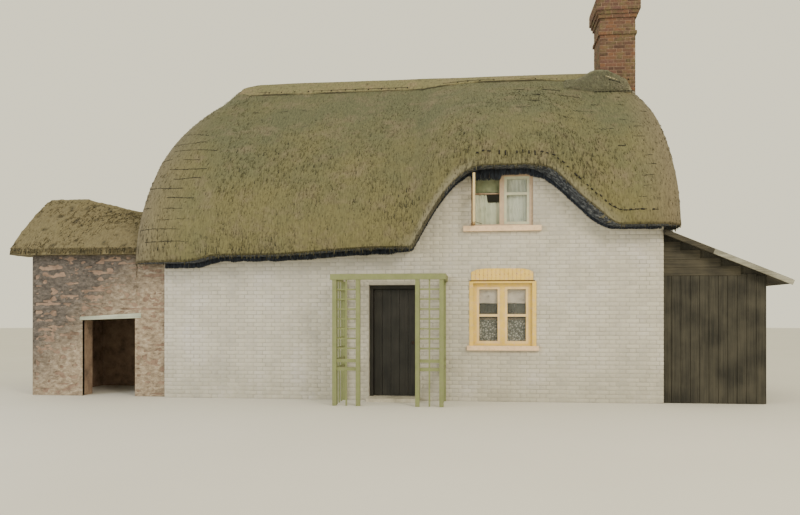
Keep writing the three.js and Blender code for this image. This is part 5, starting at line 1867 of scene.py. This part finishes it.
def window_rods():
    """Painted rods that carry the cloths of the front windows."""
    bm = bmesh.new()
    lace_low, lace_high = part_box("lower_window_lace")
    curtain_low, curtain_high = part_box("upper_window_curtain_left")
    y = curtain_low.y - 0.006
    for left, right, z, radius in (
        (curtain_low.x, curtain_high.x, (curtain_high.z + low("upper_window_shade").z) / 2, 0.012),
        (lace_low.x, lace_high.x, lace_high.z + 0.012, 0.007),
    ):
        run = rod_between(Vector((left, y, z)), Vector((right, y, z)), 1.0)
        rod_into(bm, run, 10, radius, lift=0.5)
    return piece_from("curtain_rods", bm, [pink_oil], smooth=True)


def window_trim():
    """Hinges and stay of the open leaf."""
    iron = bmesh.new()
    frame_low = low("upper_window_frame")
    leaf_low, leaf_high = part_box("upper_window_left_leaf")
    for z in (leaf_low.z + 0.12, leaf_high.z - 0.16):
        corner = Vector((leaf_low.x - 0.004, leaf_high.y - 0.03, z))
        box_into(iron, corner, corner + Vector((0.004, 0.03, 0.07)))
    stay_z = frame_low.z + 0.05
    start = Vector((leaf_high.x - 0.02, leaf_low.y + 0.1, stay_z))
    end = Vector((leaf_high.x + 0.12, frame_low.y + 0.02, stay_z))
    rod_into(iron, rod_between(start, end, 1.0), 6, 0.005, lift=0.5)
    piece_from("window_ironwork", iron, [forged_iron])


def dress_frame():
    """Give each solid that shows its own material."""
    dressed = {
        weathered_reed: "thatch_front thatch_back thatch_left_end thatch_right_end",
        sedge: "thatch_ridge",
        mossy_reed: "wing_thatch",
        washed_joints: (
            "front_wall_left front_wall_over_door front_wall_right left_end_wall right_end_wall"
            " back_wall chimney_breast"
        ),
        lime_mortar: "chimney_stack chimney_cap",
        brick_floor: "ground_floor",
        scrubbed_boards: "upper_floor",
        plain_earth: (
            "wing_end_wall wing_front_wall_left wing_front_wall_right wing_wall_over_opening wing_back_wall"
        ),
        bleached_oak: "wing_lintel",
        tarred_level: "lean_to_roof",
        tarred_upright: "lean_to_front_wall lean_to_side_wall",
        pink_oil: "upper_window_frame",
        pale_oil: "upper_window_right_leaf",
        straw_oil: "upper_window_left_leaf",
        cream_oil: (
            "upper_window_sill lower_window_sill back_window_left_frame back_window_left_sill"
            " back_window_right_frame back_window_right_sill"
        ),
        yellow_oil: "lower_window_frame lower_window_surround",
        butter_oil: "lower_window_left_leaf lower_window_right_leaf",
        arch_joints: "lower_window_arch",
        green_oil: "porch_left_side porch_right_side porch_top",
        window_glass: (
            "upper_window_left_pane upper_window_right_pane lower_window_left_pane lower_window_right_pane"
        ),
        shaded_glass: "back_window_left_glass back_window_right_glass",
        # The door and its frame are drawn near black: painted shade of the porch over dark oak
        shaded_dark_oak: "front_door door_frame",
        worn_stone: "door_step",
    }
    for maker, names in dressed.items():
        for name in names.split():
            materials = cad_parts[name].data.materials
            materials.clear()
            materials.append(finish(maker))


# Stage

def soft_light(name, place, target, size, power, tint):
    """A round lamp that faces its target."""
    light = bpy.data.lights.new(name, "AREA")
    light.shape = "DISK"
    light.size = size
    light.energy = power
    light.color = linear(tint)
    lamp = bpy.data.objects.new(name, light)
    bpy.context.collection.objects.link(lamp)
    lamp.location = place
    lamp.rotation_euler = (Vector(target) - Vector(place)).to_track_quat("-Z", "Y").to_euler()


def stage_floor():
    """A wide round floor just under the ground."""
    bm = bmesh.new()
    bmesh.ops.create_circle(bm, cap_ends=True, segments=96, radius=80)
    mesh = bpy.data.meshes.new("studio_floor")
    bm.to_mesh(mesh)
    bm.free()
    mesh.materials.append(finish(studio_floor))
    floor = bpy.data.objects.new("studio_floor", mesh)
    floor.location = (0, 0, -0.002)
    bpy.context.collection.objects.link(floor)


def stage_world():
    """Even warm light from all round, as under a bright cloudy sky."""
    world = bpy.data.worlds.new("studio_air")
    world.use_nodes = True
    background = world.node_tree.nodes["Background"]
    feed(background.inputs["Color"], "efe8cc")
    feed(background.inputs["Strength"], 1.4)
    bpy.context.scene.world = world


def stage_camera():
    """The camera, held level, with its lens shifted up as the photo's was."""
    settings = bpy.context.scene.cottage_stage
    camera = bpy.data.cameras.new("camera")
    camera.lens = settings.lens
    camera.sensor_width = 36
    camera.shift_y = settings.rise
    camera.clip_end = 300
    holder = bpy.data.objects.new("camera", camera)
    bpy.context.collection.objects.link(holder)
    holder.location = settings.eye
    holder.rotation_euler = (math.pi / 2, 0, settings.yaw)
    bpy.context.scene.camera = holder


# Operators

class COTTAGE_OT_stage(bpy.types.Operator):
    """Set the pale floor, the soft light and the camera"""

    bl_idname = "cottage.stage"
    bl_label = "Stage"

    def execute(self, context):
        settings = context.scene.cottage_stage
        stage_floor()
        stage_world()
        stage_camera()
        soft_light("key_light", (9, -13, 12), (0, 1, 3), 6, settings.key, "fff4e2")
        soft_light("fill_light", (-12, -9, 5), (0, 0, 2), 8, settings.fill, "e4ecff")
        soft_light("upstairs_light", (1.9, 0.6, 3.3), (1.9, 4.0, 3.6), 0.6, settings.upstairs, "eef0ff")
        return {"FINISHED"}


class COTTAGE_OT_materials(bpy.types.Operator):
    """Dress each solid of the frame in its material"""

    bl_idname = "cottage.materials"
    bl_label = "Materials of the frame"

    def execute(self, context):
        dress_frame()
        return {"FINISHED"}


class COTTAGE_OT_thatch(bpy.types.Operator):
    """Comb the reed coat over the four sides of the main roof"""

    bl_idname = "cottage.thatch"
    bl_label = "Main thatch"

    def execute(self, context):
        coat("front", 220, 92)
        coat("back", 100, 50)
        coat("left", 150, 74)
        coat("right", 150, 74)
        return {"FINISHED"}


class COTTAGE_OT_reeds(bpy.types.Operator):
    """Scatter loose reeds, the dark gaps and rows of fixing drawn with painted shade, and hang the fringe of
    the eaves
    """

    bl_idname = "cottage.reeds"
    bl_label = "Loose reeds"

    def execute(self, context):
        count = context.scene.cottage_thatch.stubs
        for side, part, seed in (("front", 1, 101), ("back", 5, 102), ("left", 3, 103), ("right", 3, 104)):
            loose_reeds(side, count // part, seed)
        for side, part, seed in (("front", 5, 121), ("left", 12, 123), ("right", 24, 124)):
            shadow_gaps(side, count // part, seed)
        row_marks("rows_left_hip", "left", (0.985, 0.6), (2.85, 5.3), (0.3, 0.9), (0.1, 0.6), 131)
        row_marks("rows_by_stack", "front", (0.74, 1.0), (4.9, 6.1), (0.1, 0.4), (0.3, 1.2), 132)
        row_marks("rows_right_hip", "right", (0.0, 0.2), (3.5, 5.8), (0.07, 0.2), (0.3, 1.5), 133)
        row_marks("rows_under_ridge", "front", (0.0, 0.2), (5.66, 5.8), (0.15, 0.4), (0.1, 0.4), 134)
        eave_fringe("front", 0.009, 111)
        eave_fringe("back", 0.02, 112)
        eave_fringe("left", 0.014, 113)
        eave_fringe("right", 0.014, 114)
        shadow_packing_reeds()
        return {"FINISHED"}


class COTTAGE_OT_ridge(bpy.types.Operator):
    """Lay the sedge cap with its rods, the stitches over the brow and the foot of the stack"""

    bl_idname = "cottage.ridge"
    bl_label = "Ridge and fixings"

    def execute(self, context):
        for make in (
            ridge_coat, ridge_rods, brow_stitches, saddle_coat, saddle_reeds, saddle_spars, chimney_fillet,
        ):
            make()
        return {"FINISHED"}


class COTTAGE_OT_bricks(bpy.types.Operator):
    """Lay the bricks of the house walls, the chimney and the window arch"""

    bl_idname = "cottage.bricks"
    bl_label = "Brickwork"

    def execute(self, context):
        house_walls()
        chimney_bricks()
        window_arch()
        return {"FINISHED"}


class COTTAGE_OT_wing(bpy.types.Operator):
    """Roughen the wing's earth walls and lay its mossy thatch"""

    bl_idname = "cottage.wing"
    bl_label = "Wing"

    def execute(self, context):
        wing_walls()
        wing_coat()
        wing_reeds()
        return {"FINISHED"}


class COTTAGE_OT_lean_to(bpy.types.Operator):
    """Board the lean-to"""

    bl_idname = "cottage.lean_to"
    bl_label = "Lean-to"

    def execute(self, context):
        lean_to_walls()
        lean_to_roof()
        return {"FINISHED"}


class COTTAGE_OT_joinery(bpy.types.Operator):
    """Make the plank door, the windows' ironwork and the cloths inside them"""

    bl_idname = "cottage.joinery"
    bl_label = "Door, windows and cloths"

    def execute(self, context):
        plank_door()
        window_trim()
        window_rods()
        window_cloths()
        return {"FINISHED"}


class COTTAGE_PT_panel(bpy.types.Panel):
    """Everything that dresses the cottage"""

    bl_idname = "COTTAGE_PT_panel"
    bl_label = "Cottage"
    bl_space_type = "VIEW_3D"
    bl_region_type = "UI"
    bl_category = "Cottage"

    def draw(self, context):
        for settings in SETTINGS:
            group = getattr(context.scene, settings)
            box = self.layout.box()
            for name in group.__annotations__:
                box.prop(group, name)
        for operator in OPERATORS:
            self.layout.operator(operator.bl_idname)


SETTINGS = {
    "cottage_thatch": ThatchSettings,
    "cottage_bricks": BrickSettings,
    "cottage_paint": PaintSettings,
    "cottage_stage": StageSettings,
}
OPERATORS = (
    COTTAGE_OT_stage,
    COTTAGE_OT_materials,
    COTTAGE_OT_thatch,
    COTTAGE_OT_reeds,
    COTTAGE_OT_ridge,
    COTTAGE_OT_bricks,
    COTTAGE_OT_wing,
    COTTAGE_OT_lean_to,
    COTTAGE_OT_joinery,
)


def register():
    for settings in SETTINGS.values():
        bpy.utils.register_class(settings)
    for name, settings in SETTINGS.items():
        setattr(bpy.types.Scene, name, PointerProperty(type=settings))
    for operator in OPERATORS:
        bpy.utils.register_class(operator)
    bpy.utils.register_class(COTTAGE_PT_panel)


def unregister():
    bpy.utils.unregister_class(COTTAGE_PT_panel)
    for operator in reversed(OPERATORS):
        bpy.utils.unregister_class(operator)
    for name in SETTINGS:
        delattr(bpy.types.Scene, name)
    for settings in reversed(SETTINGS.values()):
        bpy.utils.unregister_class(settings)


def main():
    register()
    for operator in OPERATORS:
        group, name = operator.bl_idname.split(".")
        getattr(getattr(bpy.ops, group), name)()


if __name__ == "__main__":
    main()
